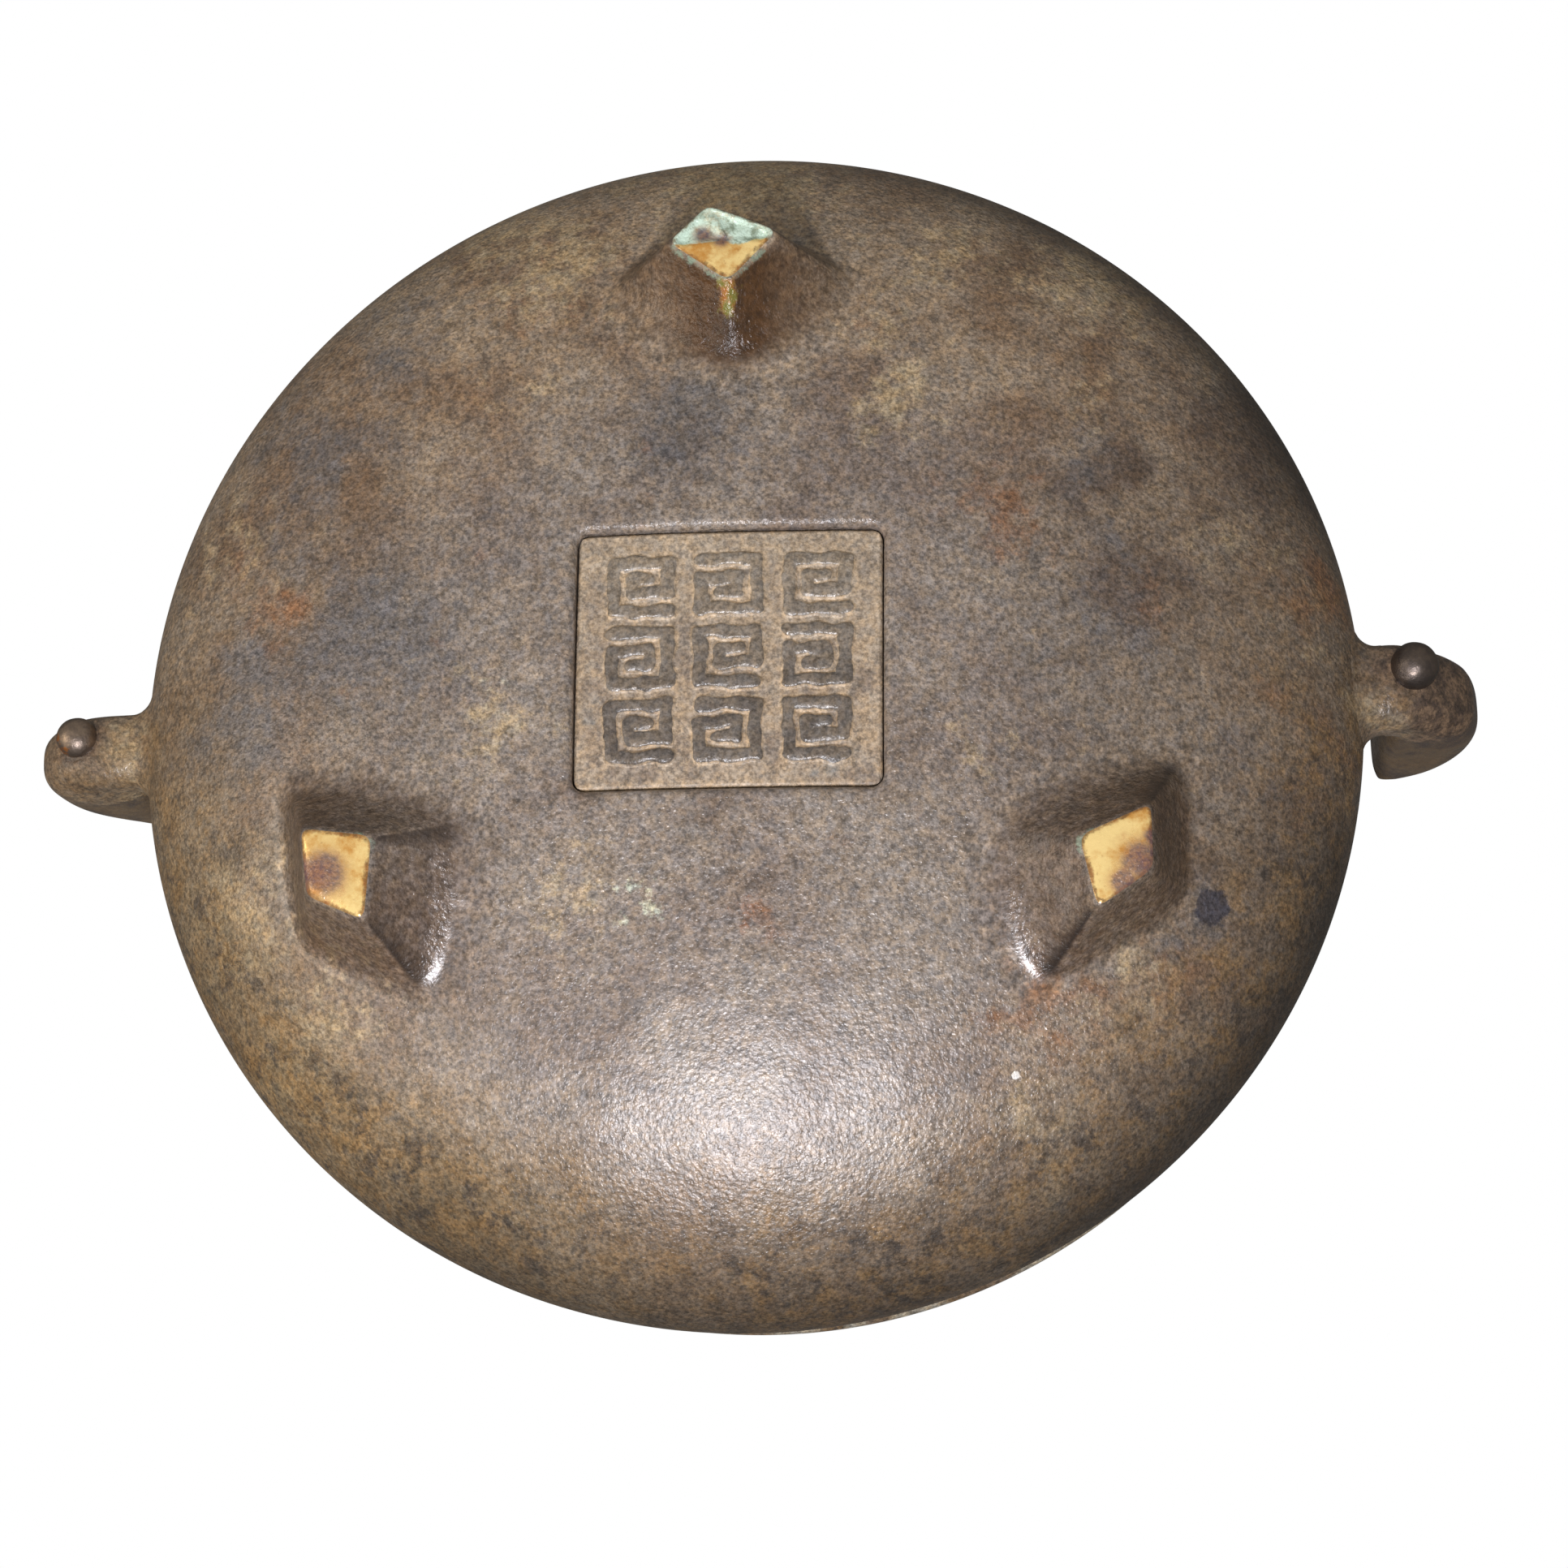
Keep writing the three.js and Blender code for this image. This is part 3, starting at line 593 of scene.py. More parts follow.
def handleMaterial():
    # the same patina, handled darker round the bead and over the knee, with a greenish outer edge
    name = "cast bronze handle, handled dark"
    material, tree, shader, place = bronzeMaterial(name, 0.05, (0.27, 0.42), 0.12)
    broad = cloud(tree, place, 2.2, 7, 0.7, 81.0)
    patches = spread(tree, cloud(tree, place, 0.8, 6, 0.7, 83.0), 0.4, 0.62)
    dark = blendColour(tree, patches, "#41342c", "#705a46")
    dark = mottled(tree, dark, place, finish["grain"], 31.0, 0.5)
    knee = layerOnNoise(tree, "knee", 0.7, broad, 0.62, 1.12, 0.9)
    colour = blendColour(tree, knee, bronzeColour(tree, place, marks), dark)
    side = blendColour(tree, spread(tree, broad, 0.42, 0.6), "#5e4d39", "#413732")
    colour = blendColour(tree, layerOnNoise(tree, "ear", 0.5, broad, 0.6, 0.95, 0.85), colour, side)
    tree.links.new(colour, shader.inputs["Base Color"])
    return material


def beadMaterial():
    # handled down to dark metal: a broad soft highlight, dark edges and orange flecks on one flank
    material, tree, shader, place = bronzeMaterial("rubbed dark bronze bead", 0.9, (0.36, 0.48), 0.06)
    patches = spread(tree, cloud(tree, place, 1.5, 6, 0.7, 71.0), 0.4, 0.62)
    colour = blendColour(tree, patches, "#73665c", "#998673")
    colour = blendColour(tree, layerShare(tree, "dusk", 0.6), colour, "#3d3a3c")
    flecks = layerOnNoise(tree, "flecks", 0.34, cloud(tree, place, 0.6, 5, 0.7, 73.0), 0.78, 0.88, 0.9)
    tree.links.new(blendColour(tree, flecks, colour, "#b8743c"), shader.inputs["Base Color"])
    return material


bronze = plainBronze()
footBronze = footMaterial()
panelBronze = panelMaterial()
handleBronze = handleMaterial()
beadBronze = beadMaterial()
print("materials ready")


# Bowl: one skin from the inside, over the lip, down round the belly and into the panel's seat


def buildBowl():
    turns = np.linspace(0, 2 * math.pi, bowl["around"], endpoint=False)
    cosines, sines = np.cos(turns), np.sin(turns)
    floorHeight = bowl["baseHeight"] + bowl["floorThickness"]
    inside = underside(bowl["bellyRadius"] - bowl["wall"], floorHeight, 44, 1.0)
    profile = inside + shoulderAndNeck(bowl["wall"], 145, 12)
    profile += lipProfile(12)[::-1]
    profile += shoulderAndNeck(0, 128, 18)[::-1]
    rings = [asPoints(r * cosines, r * sines, np.full_like(turns, z)) for r, z in profile]

    def addSkinRing(reach, lift=0.0):
        x, y = reach * cosines, reach * sines
        rings.append(asPoints(x, y, skinHeight(x, y) + lift))

    panelRing = 34.0
    for radius, _ in underside(bowl["bellyRadius"], bowl["baseHeight"], 70, panelRing)[::-1]:
        addSkinRing(radius)
    # from a circle in to the panel's outline, then over the rounded rim into the seat
    outer = panelReach(turns, 4.5)
    for share in np.linspace(1, 0, 14)[1:]:
        addSkinRing(outer + (panelRing - outer) * share)
    rimRound = panel["rimRound"]
    for out in [3.6, 2.8, 2.1, 1.6, 1.3, 1.1, 0.9, 0.72, 0.56, 0.42, 0.3, 0.19, 0.1, 0.03, 0.0]:
        inward = np.clip(rimRound - out, 0, rimRound)
        drop = rimRound - math.sqrt(rimRound ** 2 - inward ** 2)
        addSkinRing(panelReach(turns, out + panel["seam"]), drop)
    edge = rings[-1].copy()
    seatTop = bowl["baseHeight"] + panel["sink"] + panel["thickness"] + panel["seatGap"]
    for share in [0.3, 0.7, 1.0]:
        ring = edge.copy()
        ring[:, 2] = edge[:, 2] + (seatTop - edge[:, 2]) * share
        rings.append(ring)
    for share in [0.9, 0.5, 0.1]:
        x, y = edge[:, 0] * share, edge[:, 1] * share
        rings.append(asPoints(x, y, np.full_like(turns, seatTop)))
    return ringPiece("bowl_skin", rings[::-1], bronze, "bowl")


buildBowl()
print("bowl ready")


# Feet: worn four-sided tips, flaring along four ridges and blending into the underside

# EdgeRound and settle shape the soft turn from the tip's flat to the faces
feet = {
    "circle": 52.0,
    "turn": 1.3,
    "around": 240,
    "tipSoftness": 0.55,
    "hollow": 0.7,
    "edgeRound": 1.9,
    "settle": 3.0,
    "bulges": (2.2, 0.7, 0.7, 2.2),
    "steepness": 1.15,
    "steps": 64,
    "beyond": 1.6,
}
# Corners as (outwards, sideways) mm from the foot's centre: inner, right, outer, left as seen from
# above. Tarnish spots as (outwards, sideways, radius). Root is wear where the foot meets the bowl, shade
# is how dark the faces are, partly patina and partly painted shade, the ridge entry is how much of that
# lies beside the inner ridge only, shadows are painted shadow beside a ridge as (ridge number, side,
# strength), and verdigris is how far it goes round the tip from the inner corner.
frontFoot = {"dish": 0.0, "streak": 0.0, "root": 1.0, "ridgeShade": 0.0, "softness": 0.42, "fillet": 3.6}
footShapes = {
    "foot_back": {
        "at": 90,
        "tip": [(-5.8, 0.2), (-0.4, -7.0), (4.6, -2.4), (0.6, 6.2)],
        "base": [(-16.4, 0.4), (-2.1, -17.0), (8.2, -1.5), (-1.8, 16.4)],
        "tarnish": [(0.4, -2.8, 1.5), (-0.4, -0.6, 1.3)],
        "dish": 0.8,
        "streak": 1.0,
        "root": 0.8,
        "ridgeShade": 0.6,
        "shade": 1.15,
        "softness": 0.8,
        "fillet": 3.4,
        "shadows": [(0, 1, 0.5), (4, -1, 0.3)],
        "verdigris": 1.0,
    },
    "foot_right": {
        "at": 330,
        "tip": [(-5.8, 1.6), (-0.2, -6.8), (4.2, -0.6), (0.9, 6.8)],
        "base": [(-16.6, -0.9), (-1.5, -16.2), (8.2, -1.3), (0.7, 16.7)],
        "tarnish": [(1.3, 0.6, 3.6), (3.0, 1.6, 2.6)],
        **frontFoot,
        "shade": 0.42,
        "shadows": [(0, 1, 0.75), (1, -1, 0.85)],
        "verdigris": 0.25,
    },
    "foot_left": {
        "at": 210,
        "tip": [(-5.1, 0.5), (0.2, -6.8), (4.1, -0.3), (0.8, 6.9)],
        "base": [(-15.4, 2.8), (-0.4, -16.4), (8.1, -1.8), (-1.5, 16.9)],
        "tarnish": [(2.4, -0.4, 3.0), (2.4, -3.4, 1.6), (2.0, 2.8, 2.0)],
        **frontFoot,
        "shade": 0.4,
        "shadows": [(1, -1, 0.75), (3, 1, 1.0), (4, -1, 0.5)],
        "verdigris": 0.2,
    },
}


def softQuad(corners, softness, count, bulges=(0, 0, 0, 0)):
    # a four-sided outline with bulging sides, whose corners are rounded by averaging along it
    side = count // 4
    corners = np.asarray(corners, float)
    share = np.linspace(0, 1, side, endpoint=False)[:, None]
    sides = []
    for a, b, bulge in zip(corners, np.roll(corners, -1, axis=0), bulges):
        run = b - a
        normal = np.array([-run[1], run[0]]) / np.hypot(*run)
        normal = normal * np.sign(normal @ (a + b))
        sides.append(a + run * share + normal * 4 * bulge * share * (1 - share))
    points = np.vstack(sides)
    half = max(int(softness * side / 2), 1)
    total, weights = np.zeros_like(points), 0.0
    for shift in range(-half, half + 1):
        weight = 1 + math.cos(math.pi * shift / (half + 1))
        total += weight * np.roll(points, shift, axis=0)
        weights += weight
    return total / weights


def buildFoot(node, shape):
    turn = math.radians(shape["at"] + feet["turn"])
    out = np.array([math.cos(turn), math.sin(turn)])
    across = np.array([-out[1], out[0]])
    tip = softQuad(shape["tip"], feet["tipSoftness"], feet["around"])
    base = softQuad(shape["base"], shape["softness"], feet["around"], feet["bulges"])
    baseX = out[0] * (feet["circle"] + base[:, 0]) + across[0] * base[:, 1]
    baseY = out[1] * (feet["circle"] + base[:, 0]) + across[1] * base[:, 1]
    rise = skinHeight(baseX, baseY)
    run = np.hypot(*(base - tip).T)
    slope = feet["steepness"] * rise / run
    rounding = feet["edgeRound"] * slope / 3
    # where along its side each column lies: 0 at the ridges, 1 in the middle of a face
    column = np.arange(feet["around"])
    side = feet["around"] / 4
    faceMiddle = 4 * (column % side) / side * (1 - (column % side) / side)
    besideRidges = np.zeros(feet["around"])
    for ridge, way, strength in shape["shadows"]:
        beyond = (column - ridge * side) * way
        band = np.exp(-(beyond / 8.0) ** 2) * smoothStep(beyond, -2.5, 1) * strength
        besideRidges = np.maximum(besideRidges, band)
    rings = []
    names = ("tip", "edge", "rim", "face", "shadow", "root", "dish", "streak", "tarnish")
    layers = {layer: [] for layer in names}
    inward = [0.06, 0.2, 0.34, 0.48, 0.6, 0.7, 0.78, 0.85, 0.9, 0.94, 0.97]
    outward = (np.linspace(0, 1, feet["steps"]) ** 1.25 * feet["beyond"]).tolist()
    for inside, share in [(t, 0.0) for t in inward] + [(1.0, t) for t in outward]:
        spot = tip * inside + (base - tip) * share
        u, v = spot.T
        x = out[0] * (feet["circle"] + u) + across[0] * v
        y = out[1] * (feet["circle"] + u) + across[1] * v
        # distance past the tip's edge, negative inside it
        past = run * share - np.hypot(*tip.T) * (1 - inside) * 0.8
        straight = past * slope
        level = 0.5 * (straight + np.sqrt(straight ** 2 + rounding ** 2))
        level = level - 0.5 * (np.sqrt(feet["settle"] ** 2 + rounding ** 2) - feet["settle"])
        wobble = 0.1 * ripple(x, y, 3.4, shape["at"]) * smoothStep(past, 0.2, 2.5)
        level = level + feet["hollow"] * faceMiddle * 4 * share * max(1 - share, 0)
        hollow = smoothStep(u + 0.3 * ripple(u, v, 5, 1.0), -1.1, 0.1) * (1 - smoothStep(past, -0.8, -0.2))
        level = level + shape["dish"] * hollow * (0.8 + 0.2 * ripple(u, v, 2.4, 2.0))
        floor = smoothStep(u + 0.4 * ripple(u, v, 4, 3.0), -1.4, -0.5) * (1 - smoothStep(past, -0.1, 0.4))
        layers["dish"].append(floor * (shape["dish"] > 0))
        body = skinHeight(x, y)
        height = softLower(np.maximum(level + wobble, 0), body, shape["fillet"])
        height = height + 0.07 * smoothStep(share, 1.25, feet["beyond"])
        rings.append(asPoints(x, y, height))
        layers["tip"].append(1 - smoothStep(past, -0.35, 0.3))
        innerU, innerV = shape["tip"][0]
        near = np.exp(-((u - innerU) ** 2 + (v - innerV) ** 2) / 3.4 ** 2)
        green = shape["verdigris"] * (1 - smoothStep(u, -1, 1)) + (1 - shape["verdigris"]) * near
        layers["edge"].append(green * smoothStep(past, -0.5, 0.0) * (1 - smoothStep(past, 0.4, 1.2)))
        layers["rim"].append(smoothStep(past, -0.9, -0.1) * (1 - smoothStep(past, 0.1, 0.6)))
        # the faces' darkening, partly patina and partly painted shade, is deepest beside the inner ridge
        nearRidge = np.exp(-(v / 7.5) ** 2) * smoothStep(-u, -2, 3)
        dirt = shape["shade"] * (1 + shape["ridgeShade"] * (nearRidge - 1))
        layers["face"].append(dirt * smoothStep(past, 0.0, 0.8) * (1 - smoothStep(share, 0.7, 1.15)))
        shadow = besideRidges * smoothStep(past, 0.2, 1.5) * (1 - smoothStep(share, 0.75, 1.0))
        layers["shadow"].append(shadow)
        root = shape["root"] * smoothStep(share, 0.68, 0.95) * (1 - smoothStep(share, 1.3, 1.58))
        layers["root"].append(np.full_like(u, root))
        along = smoothStep(past, -0.4, 0.6) * (1 - smoothStep(past, 2.5, 5.5))
        layers["streak"].append(shape["streak"] * along * np.exp(-(v / 1.3) ** 2) * smoothStep(-u, 3, 5))
        spots = [np.exp(-((u - a) ** 2 + (v - b) ** 2) / r ** 2) for a, b, r in shape["tarnish"]]
        layers["tarnish"].append(np.max(spots, axis=0))
    end = rings[-1].copy()
    end[:, 2] += 1.2
    rings.append(end)
    for values in layers.values():
        values.append(np.zeros(feet["around"]))
    middle = out * feet["circle"]
    first = np.array([middle[0], middle[1], rings[0][:, 2].mean()])
    last = np.array([middle[0], middle[1], float(skinHeight(*middle)) + 2.2])
    return ringPiece(node + "_skin", rings, footBronze, node, layers, first, last)


for node, shape in footShapes.items():
    buildFoot(node, shape)
print("feet ready")


# Handles: a short neck on the belly that turns up into a solid ear; the two differ a little

handles = {
    "right": {
        "neckWidth": 9.2, "neckHeight": 6.6, "neckRise": 1.9, "gap": 1.15, "earDepth": 12.95,
        "earRise": 12.8, "earWidth": 9.4, "kneeDown": 2.45, "kneeOut": 2.4, "crownUp": 1.8, "crownOut": 2.05,
        "bulge": 0.0, "edge": 0.5, "shift": 0.0, "tilt": 0.0,
        "bead": (83.4, 1.25, 25.4), "beadRadius": 2.5, "beadRise": 0.75, "beadShade": 5, "kneeShade": 0.45,
    },
    "left": {
        "neckWidth": 10.7, "neckHeight": 7.9, "neckRise": 3.5, "gap": 3.5, "earDepth": 11.65,
        "earRise": 16.6, "earWidth": 10.5, "kneeDown": 1.2, "kneeOut": 1.7, "crownUp": 3.8, "crownOut": 2.9,
        "bulge": 0.15, "edge": 0.3, "shift": -0.25, "tilt": 1.4,
        "bead": (81.2, -2.0, 26.0), "beadRadius": 2.95, "beadRise": 0.9, "beadShade": 5, "kneeShade": 1.25,
    },
}
handleMesh = {"around": 128, "root": 14, "fan": 48, "ear": 44, "notch": 0.9, "fillet": 2.3}


def roundedOutline(turns, reach, side, fullPlus, fullMinus):
    c, s = np.cos(turns), np.sin(turns)
    fullness = np.where(c > 0, fullPlus, fullMinus)
    return reach * np.sign(c) * np.abs(c) ** (2 / fullness), side * np.sign(s) * np.abs(s) ** (2 / fullness)


def handleRings(shape):
    turns = np.linspace(0, 2 * math.pi, handleMesh["around"], endpoint=False)
    notch, fillet = min(handleMesh["notch"], shape["gap"] / 2), handleMesh["fillet"]
    neckTop = bowl["bellyHeight"] + shape["neckRise"]
    neckMiddle = neckTop - shape["neckHeight"] / 2
    earInner = bowl["bellyRadius"] + shape["gap"]
    pivotX, pivotZ = earInner - notch, neckTop + notch
    crown = np.sin(math.pi / 2 * np.linspace(0, 1, handleMesh["ear"])[1:]) * 0.995
    outline = (1 - crown ** shape["crownUp"]) ** (1 / shape["crownOut"])
    outline = outline * (1 + 4 * shape["bulge"] * crown * (1 - crown))
    depthBelow = shape["earDepth"] / max(1, outline.max())
    rings = []
    # from inside the wall out to the pivot, then round it, then up the ear
    flat, y = roundedOutline(turns, shape["neckHeight"] / 2, shape["neckWidth"] / 2, 3, 3)
    z = neckMiddle - flat
    belly = np.sqrt(np.maximum(bellyAt(z) ** 2 - y * y, 0))
    rings.append(asPoints(belly - 0.8, y, z))
    for lift in np.linspace(-0.05, 1, handleMesh["root"], endpoint=False):
        rings.append(asPoints(belly + (pivotX - belly) * lift, y, z))
    for share in np.linspace(0, 1, handleMesh["fan"]) ** 1.3:
        turn = share * math.pi / 2
        width = shape["neckWidth"] + (shape["earWidth"] - shape["neckWidth"]) * share
        down = (shape["neckHeight"] + notch) * max(math.cos(turn), 0) ** (2 / shape["kneeDown"])
        outward = (depthBelow + notch) * math.sin(turn) ** (2 / shape["kneeOut"])
        length = math.hypot(down, outward)
        flat, y = roundedOutline(turns, (length - notch) / 2, width / 2, 2.8, 4)
        reach = ((length + notch) / 2 + flat) / length
        rings.append(asPoints(pivotX + outward * reach, y, pivotZ - down * reach))
    for step, share, size in zip(np.linspace(0, 1, handleMesh["ear"])[1:], crown, outline):
        inset = shape["edge"] * max(step - 0.86, 0) / 0.14
        depth = depthBelow * size - 2 * inset
        flat, y = roundedOutline(turns, depth / 2, shape["earWidth"] / 2 - inset, 2.8, 4)
        z = pivotZ + (shape["earRise"] - notch) * share
        x = earInner + inset + depth / 2 + flat - shape["tilt"] * share
        rings.append(asPoints(x, y, np.full_like(y, z)))
    # the blend with the belly: points close to it move out from the neck's middle, along the belly
    x, y, z = np.moveaxis(np.asarray(rings), -1, 0)
    surface = np.sqrt(np.maximum(bellyAt(z) ** 2 - y * y, 0))
    away = np.clip((x - surface) / fillet, 0, 1)
    widen = fillet * (1 - np.sqrt(1 - (1 - away) ** 2)) * (1 - smoothStep(z, neckTop - 0.6, neckTop + 0.3))
    below = np.minimum(z - neckMiddle, 0)
    length = np.maximum(np.hypot(y, below), 0.5)
    y = y + widen * y / length
    z = z + widen * below / length
    x = x - surface + np.sqrt(np.maximum(bellyAt(z) ** 2 - y * y, 0))
    return asPoints(x, y + shape["shift"], z)


def buildHandle(side):
    shape = handles[side]
    rings = handleRings(shape)
    # worn unevenly, and swelling towards the bead, with a shallow crease round it
    fade = smoothStep(rings[..., 0], bowl["bellyRadius"] + 1, bowl["bellyRadius"] + 5)
    x, y, z = np.moveaxis(rings.copy(), -1, 0)
    rings[..., 1] += fade * 0.16 * ripple(x, z, 8, 1.3) * np.tanh(y / 2)
    rings[..., 2] += fade * 0.14 * ripple(x, y, 7, 2.6)
    away = np.hypot(x - shape["bead"][0], y - shape["bead"][1]) / shape["beadRadius"]
    beside = 1 - smoothStep(z, shape["bead"][2] + 1.5, shape["bead"][2] + 4)
    rings[..., 2] += beside * (0.2 * np.exp(-((away - 1.02) / 0.16) ** 2) - 0.6 * np.exp(-(away / 1.35) ** 3))
    reach = np.linalg.norm(rings - np.array(shape["bead"]), axis=-1)
    handled = np.exp(-(reach / shape["beadShade"]) ** 2)
    layers = {
        "knee": np.maximum(handled, shape["kneeShade"] * smoothStep(x, 77, 85)),
        "ear": smoothStep(z, 33, 36),
    }
    if side == "left":
        rings[..., :2] *= -1
    return ringPiece("handle_" + side + "_skin", rings, handleBronze, "handle_" + side, layers)


def buildBead(side):
    shape = handles[side]
    turns = np.linspace(0, 2 * math.pi, 72, endpoint=False)
    rings = []
    for tilt in np.linspace(0.04, math.pi - 0.04, 44):
        across, along = math.sin(tilt) * np.cos(turns), math.sin(tilt) * np.sin(turns)
        rings.append(asPoints(across, along, np.full_like(turns, -math.cos(tilt))))
    rings = np.asarray(rings)
    uneven = 1 + 0.02 * ripple(rings[..., 0] * 3, rings[..., 1] * 3 + rings[..., 2] * 2, 4, 0.5)
    rings = rings * uneven[..., None] * shape["beadRadius"] * np.array([1, 1, shape["beadRise"]])
    flank = smoothStep(rings[..., 0] - 0.6 * rings[..., 1], 0.3, 2.6) * (side == "right")
    rings = rings + np.array(shape["bead"])
    if side == "left":
        rings[..., :2] *= -1
    layers = {"flecks": flank, "dusk": np.full_like(flank, side == "left")}
    return ringPiece("bead_" + side + "_skin", rings, beadBronze, "bead_" + side, layers)


for side in handles:
    buildHandle(side)
    buildBead(side)
print("handles ready")


# Panel: tan ground with worn raised lines of a thunder fret


def fretLines():
    # straight pieces of every spiral as (start x, start y, end x, end y)
    pitch = panel["line"] + panel["space"]
    cellWidth = (panel["width"] - 2 * panel["border"]) / panel["columns"]
    cellDepth = (panel["depth"] - 2 * panel["border"]) / panel["rows"]
    x = (cellWidth - panel["gapX"] - panel["line"]) / 2
    y = (cellDepth - panel["gapY"] - panel["line"]) / 2
    corners = [(-x, -y), (x, -y), (x, y), (-x, y), (-x, pitch - y), (x - pitch, pitch - y),
               (x - pitch, y - pitch), (pitch - x, y - pitch)]
    lines = []
    for column in range(panel["columns"]):
        for row in range(panel["rows"]):
            flip = -1 if (column + row) % 2 else 1
            middleX = (column - (panel["columns"] - 1) / 2) * cellWidth
            middleY = (row - (panel["rows"] - 1) / 2) * cellDepth
            for (ax, ay), (bx, by) in zip(corners, corners[1:]):
                start = (middleX + flip * ax, middleY + flip * ay)
                lines.append((*start, middleX + flip * bx, middleY + flip * by))
    return lines


def buildPanel():
    halfX, halfY = panel["width"] / 2, panel["depth"] / 2
    columns = int(panel["width"] / panel["step"]) + 1
    rows = int(panel["depth"] / panel["step"]) + 1
    across, along = np.meshgrid(np.linspace(-halfX, halfX, columns), np.linspace(-halfY, halfY, rows))
    warpX = across + 0.2 * ripple(across, along, 4.4, 0.7) + 0.06 * ripple(across, along, 1.9, 2.2)
    warpY = along + 0.2 * ripple(across, along, 4.1, 4.1) + 0.06 * ripple(across, along, 1.8, 5.2)
    nearest = np.full_like(across, 99.0)
    for ax, ay, bx, by in fretLines():
        runX, runY = bx - ax, by - ay
        share = np.clip(((warpX - ax) * runX + (warpY - ay) * runY) / (runX ** 2 + runY ** 2), 0, 1)
        nearest = np.minimum(nearest, np.hypot(warpX - ax - share * runX, warpY - ay - share * runY))
    uneven = 0.14 * ripple(across, along, 5.5, 3.3) + 0.09 * ripple(across, along, 1.7, 1.3)
    halfLine = panel["line"] / 2 * (1 + uneven)
    domed = np.sqrt(np.clip(1 - (nearest / (halfLine + 0.22)) ** 2.6, 0, 1))
    raised = 1 - smoothStep(nearest, halfLine - 0.1, halfLine + 0.25)
    worn = 0.84 + 0.16 * ripple(across, along, 9, 1.1)
    relief = panel["relief"] * domed * worn
    # corners rounded by pulling the outline in
    corner = panel["corner"]
    overX = np.maximum(np.abs(across) - (halfX - corner), 0)
    overY = np.maximum(np.abs(along) - (halfY - corner), 0)
    over = np.hypot(overX, overY)
    pull = np.where((over > corner) & (overX > 0) & (overY > 0), corner / np.maximum(over, 1e-6), 1.0)
    shapeX = np.where(pull < 1, np.sign(across) * (halfX - corner + overX * pull), across)
    shapeY = np.where(pull < 1, np.sign(along) * (halfY - corner + overY * pull), along)
    turn = math.radians(panel["turn"])
    x = shapeX * math.cos(turn) - shapeY * math.sin(turn)
    y = shapeX * math.sin(turn) + shapeY * math.cos(turn)
    edge = np.minimum(halfX - np.abs(across), halfY - np.abs(along))
    rounding = 0.3 * (1 - smoothStep(edge, 0.0, 0.45)) ** 2
    ground = undersideHeight(np.hypot(x, y)) + panel["sink"] + 0.05 * ripple(across, along, 6, 0.2)
    z = ground - relief + rounding
    top = asPoints(x, y, z).reshape(-1, 3)
    count = rows * columns
    back = bowl["baseHeight"] + panel["sink"] + panel["thickness"] + panel["backGap"]
    border = [*range(columns), *[r * columns + columns - 1 for r in range(1, rows)],
              *[(rows - 1) * columns + c for c in range(columns - 2, -1, -1)],
              *[r * columns for r in range(rows - 2, 0, -1)]]
    under = top[border].copy()
    under[:, 2] = back
    points = np.vstack([top, under, [[0, 0, back]]])
    faces = [list(f[::-1]) for f in gridFaces(rows, columns, False)]
    total = len(border)
    for i in range(total):
        after = (i + 1) % total
        faces.append([border[i], border[after], count + after, count + i])
        faces.append([count + i, count + after, count + total])
    crease = smoothStep(nearest, halfLine - 0.1, halfLine + 0.15)
    crease = crease * (1 - smoothStep(nearest, halfLine + 0.15, halfLine + 0.6))

    def withSides(values, sides=0.0):
        # the top's values, and one value for all points of the sides and back
        return np.concatenate([values.reshape(-1), np.full(total + 1, sides)])

    layers = {
        "raised": withSides(raised),
        "crease": withSides(crease),
        "edge": withSides(1 - smoothStep(edge, 0.1, 1.4), 1.0),
        # paler towards the panel's +y side
        "paleTowardsPlusY": withSides(smoothStep(along, -8, 14)),
    }
    return makePiece("panel_skin", points, faces, panelBronze, "base_panel", layers)


buildPanel()
print("panel ready")


# Camera: from below and a little to one side, the bowl mouth down as it lies in the photo

cameraPlace = Vector((-40.177, -146.145, -417.699)) * mm
cameraRight = Vector((-0.99586965, -0.02370922, 0.08764428))
cameraUp = Vector((-0.0483871, 0.95538018, -0.29135597))
camera = bpy.data.objects.new("camera", bpy.data.cameras.new("camera"))
scene.collection.objects.link(camera)
axes = Matrix((cameraRight, cameraUp, cameraRight.cross(cameraUp))).transposed().to_4x4()
camera.matrix_world = Matrix.Translation(cameraPlace) @ axes
camera.data.lens = 87.954
camera.data.sensor_width = 36
camera.data.clip_start = 0.01
scene.camera = camera


# Light: a flash and a window below, a softbox above, and a white room

# The softbox is for the upright views and isn't seen in reflections. The room is brighter below.
lamps = {
    "flashWatts": 2.4,
    "windowWatts": 1.0,
    "softboxWatts": 13,
    "roomAbove": 0.15,
    "roomBelow": 0.36,
}


def addLamp(name, place, target, size, watts, colour):
    lamp = bpy.data.objects.new(name, bpy.data.lights.new(name, "AREA"))
    lamp.data.shape = "DISK"
    lamp.data.size = size
    lamp.data.energy = watts
    lamp.data.color = linear(colour)[:3]
    lamp.location = place
    lamp.rotation_euler = (Vector(target) - Vector(place)).to_track_quat("-Z", "Y").to_euler()
    scene.collection.objects.link(lamp)
    return lamp


addLamp("flashBelow", (0.03, -0.276, -0.37), (0, 0, 0.01), 0.07, lamps["flashWatts"], "#f5f6ff")
addLamp("windowAside", (0.5, -0.05, -0.35), (0, 0, 0.01), 0.35, lamps["windowWatts"], "#fff3e2")
softbox = addLamp("softboxAbove", (0, 0, 1.1), (0, 0, 0.03), 2.4, lamps["softboxWatts"], "#fffaf4")
softbox.visible_glossy = False

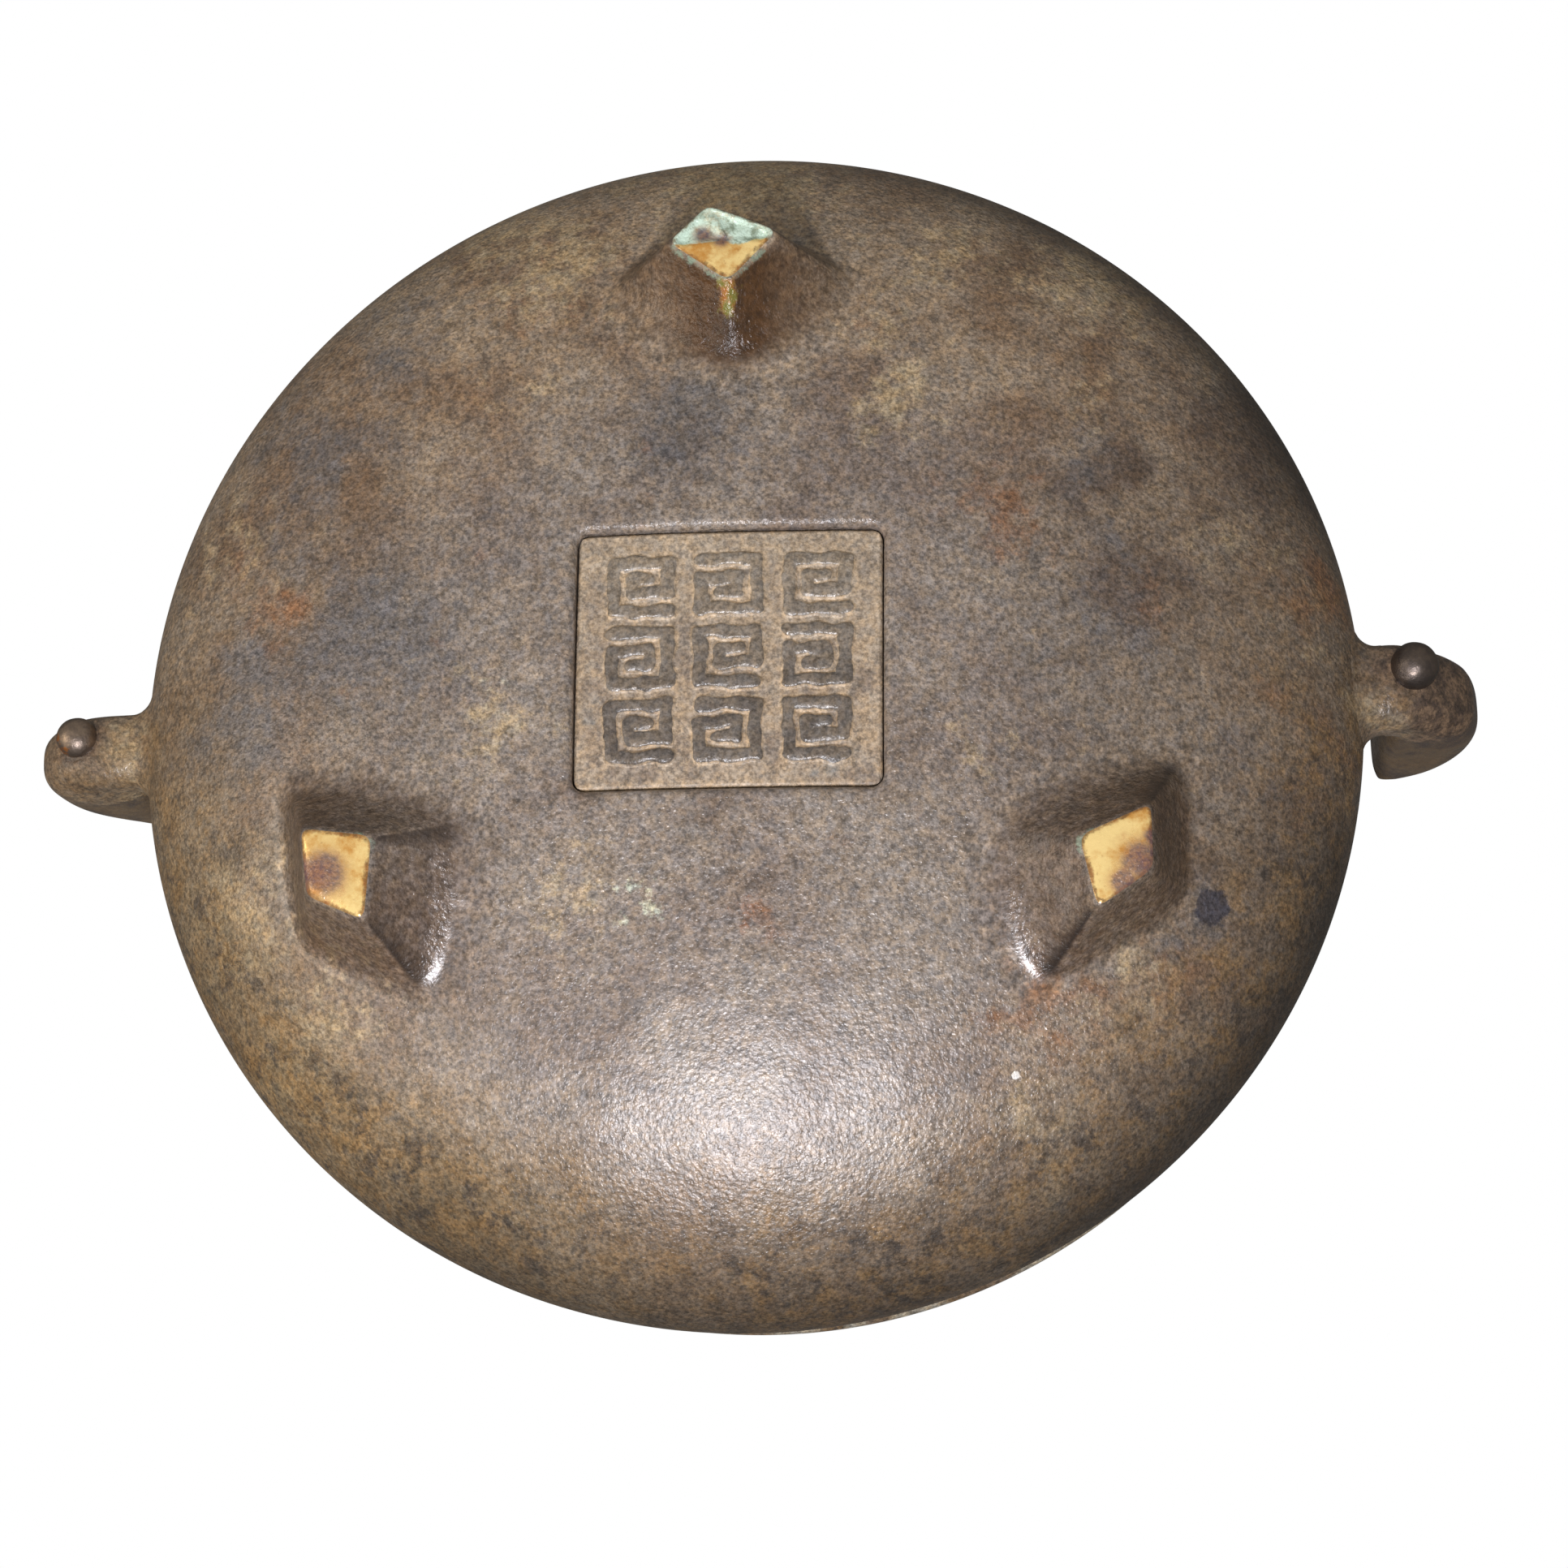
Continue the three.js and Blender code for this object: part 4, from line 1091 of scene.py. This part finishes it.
world = bpy.data.worlds.new("white room")
scene.world = world
world.use_nodes = True
worldTree = world.node_tree
fill = worldTree.nodes["Background"]
fill.inputs["Color"].default_value = linear("#fdf9f3")
direction = addNode(worldTree, "ShaderNodeTexCoord").outputs["Generated"]
upward = addNode(worldTree, "ShaderNodeSeparateXYZ", [(0, direction)]).outputs["Z"]
strength = spread(worldTree, upward, -0.2, 0.4, lamps["roomAbove"], lamps["roomBelow"])
worldTree.links.new(strength, fill.inputs["Strength"])
rays = addNode(worldTree, "ShaderNodeLightPath")
seen = addNode(worldTree, "ShaderNodeBackground", [("Color", (1, 1, 1, 1)), ("Strength", 1.0)])
choose = addNode(
    worldTree, "ShaderNodeMixShader",
    [(0, rays.outputs["Is Camera Ray"]), (1, fill.outputs[0]), (2, seen.outputs[0])],
)
worldTree.links.new(choose.outputs[0], worldTree.nodes["World Output"].inputs["Surface"])


def buildFloor():
    # a pale floor that shows only from above, so that the photo's view from below sees past it
    mesh = bpy.data.meshes.new("floor")
    reach = 3.0
    corners = [(-reach, -reach, 0), (reach, -reach, 0), (reach, reach, 0), (-reach, reach, 0)]
    mesh.from_pydata(corners, [], [(0, 1, 2, 3)])
    floor = bpy.data.objects.new("floor", mesh)
    scene.collection.objects.link(floor)
    material = bpy.data.materials.new("pale paper floor")
    material.use_nodes = True
    tree = material.node_tree
    paper = tree.nodes["Principled BSDF"]
    paper.inputs["Base Color"].default_value = linear("#e9e8e6")
    paper.inputs["Roughness"].default_value = 0.9
    clear = addNode(tree, "ShaderNodeBsdfTransparent")
    below = addNode(tree, "ShaderNodeNewGeometry").outputs["Backfacing"]
    choice = addNode(tree, "ShaderNodeMixShader", [(0, below), (1, paper.outputs[0]), (2, clear.outputs[0])])
    tree.links.new(choice.outputs[0], tree.nodes["Material Output"].inputs["Surface"])
    mesh.materials.append(material)
    floor.visible_shadow = False
    floor.visible_diffuse = False
    floor.visible_glossy = False


buildFloor()
scene.view_settings.view_transform = "Standard"

print("scene ready")
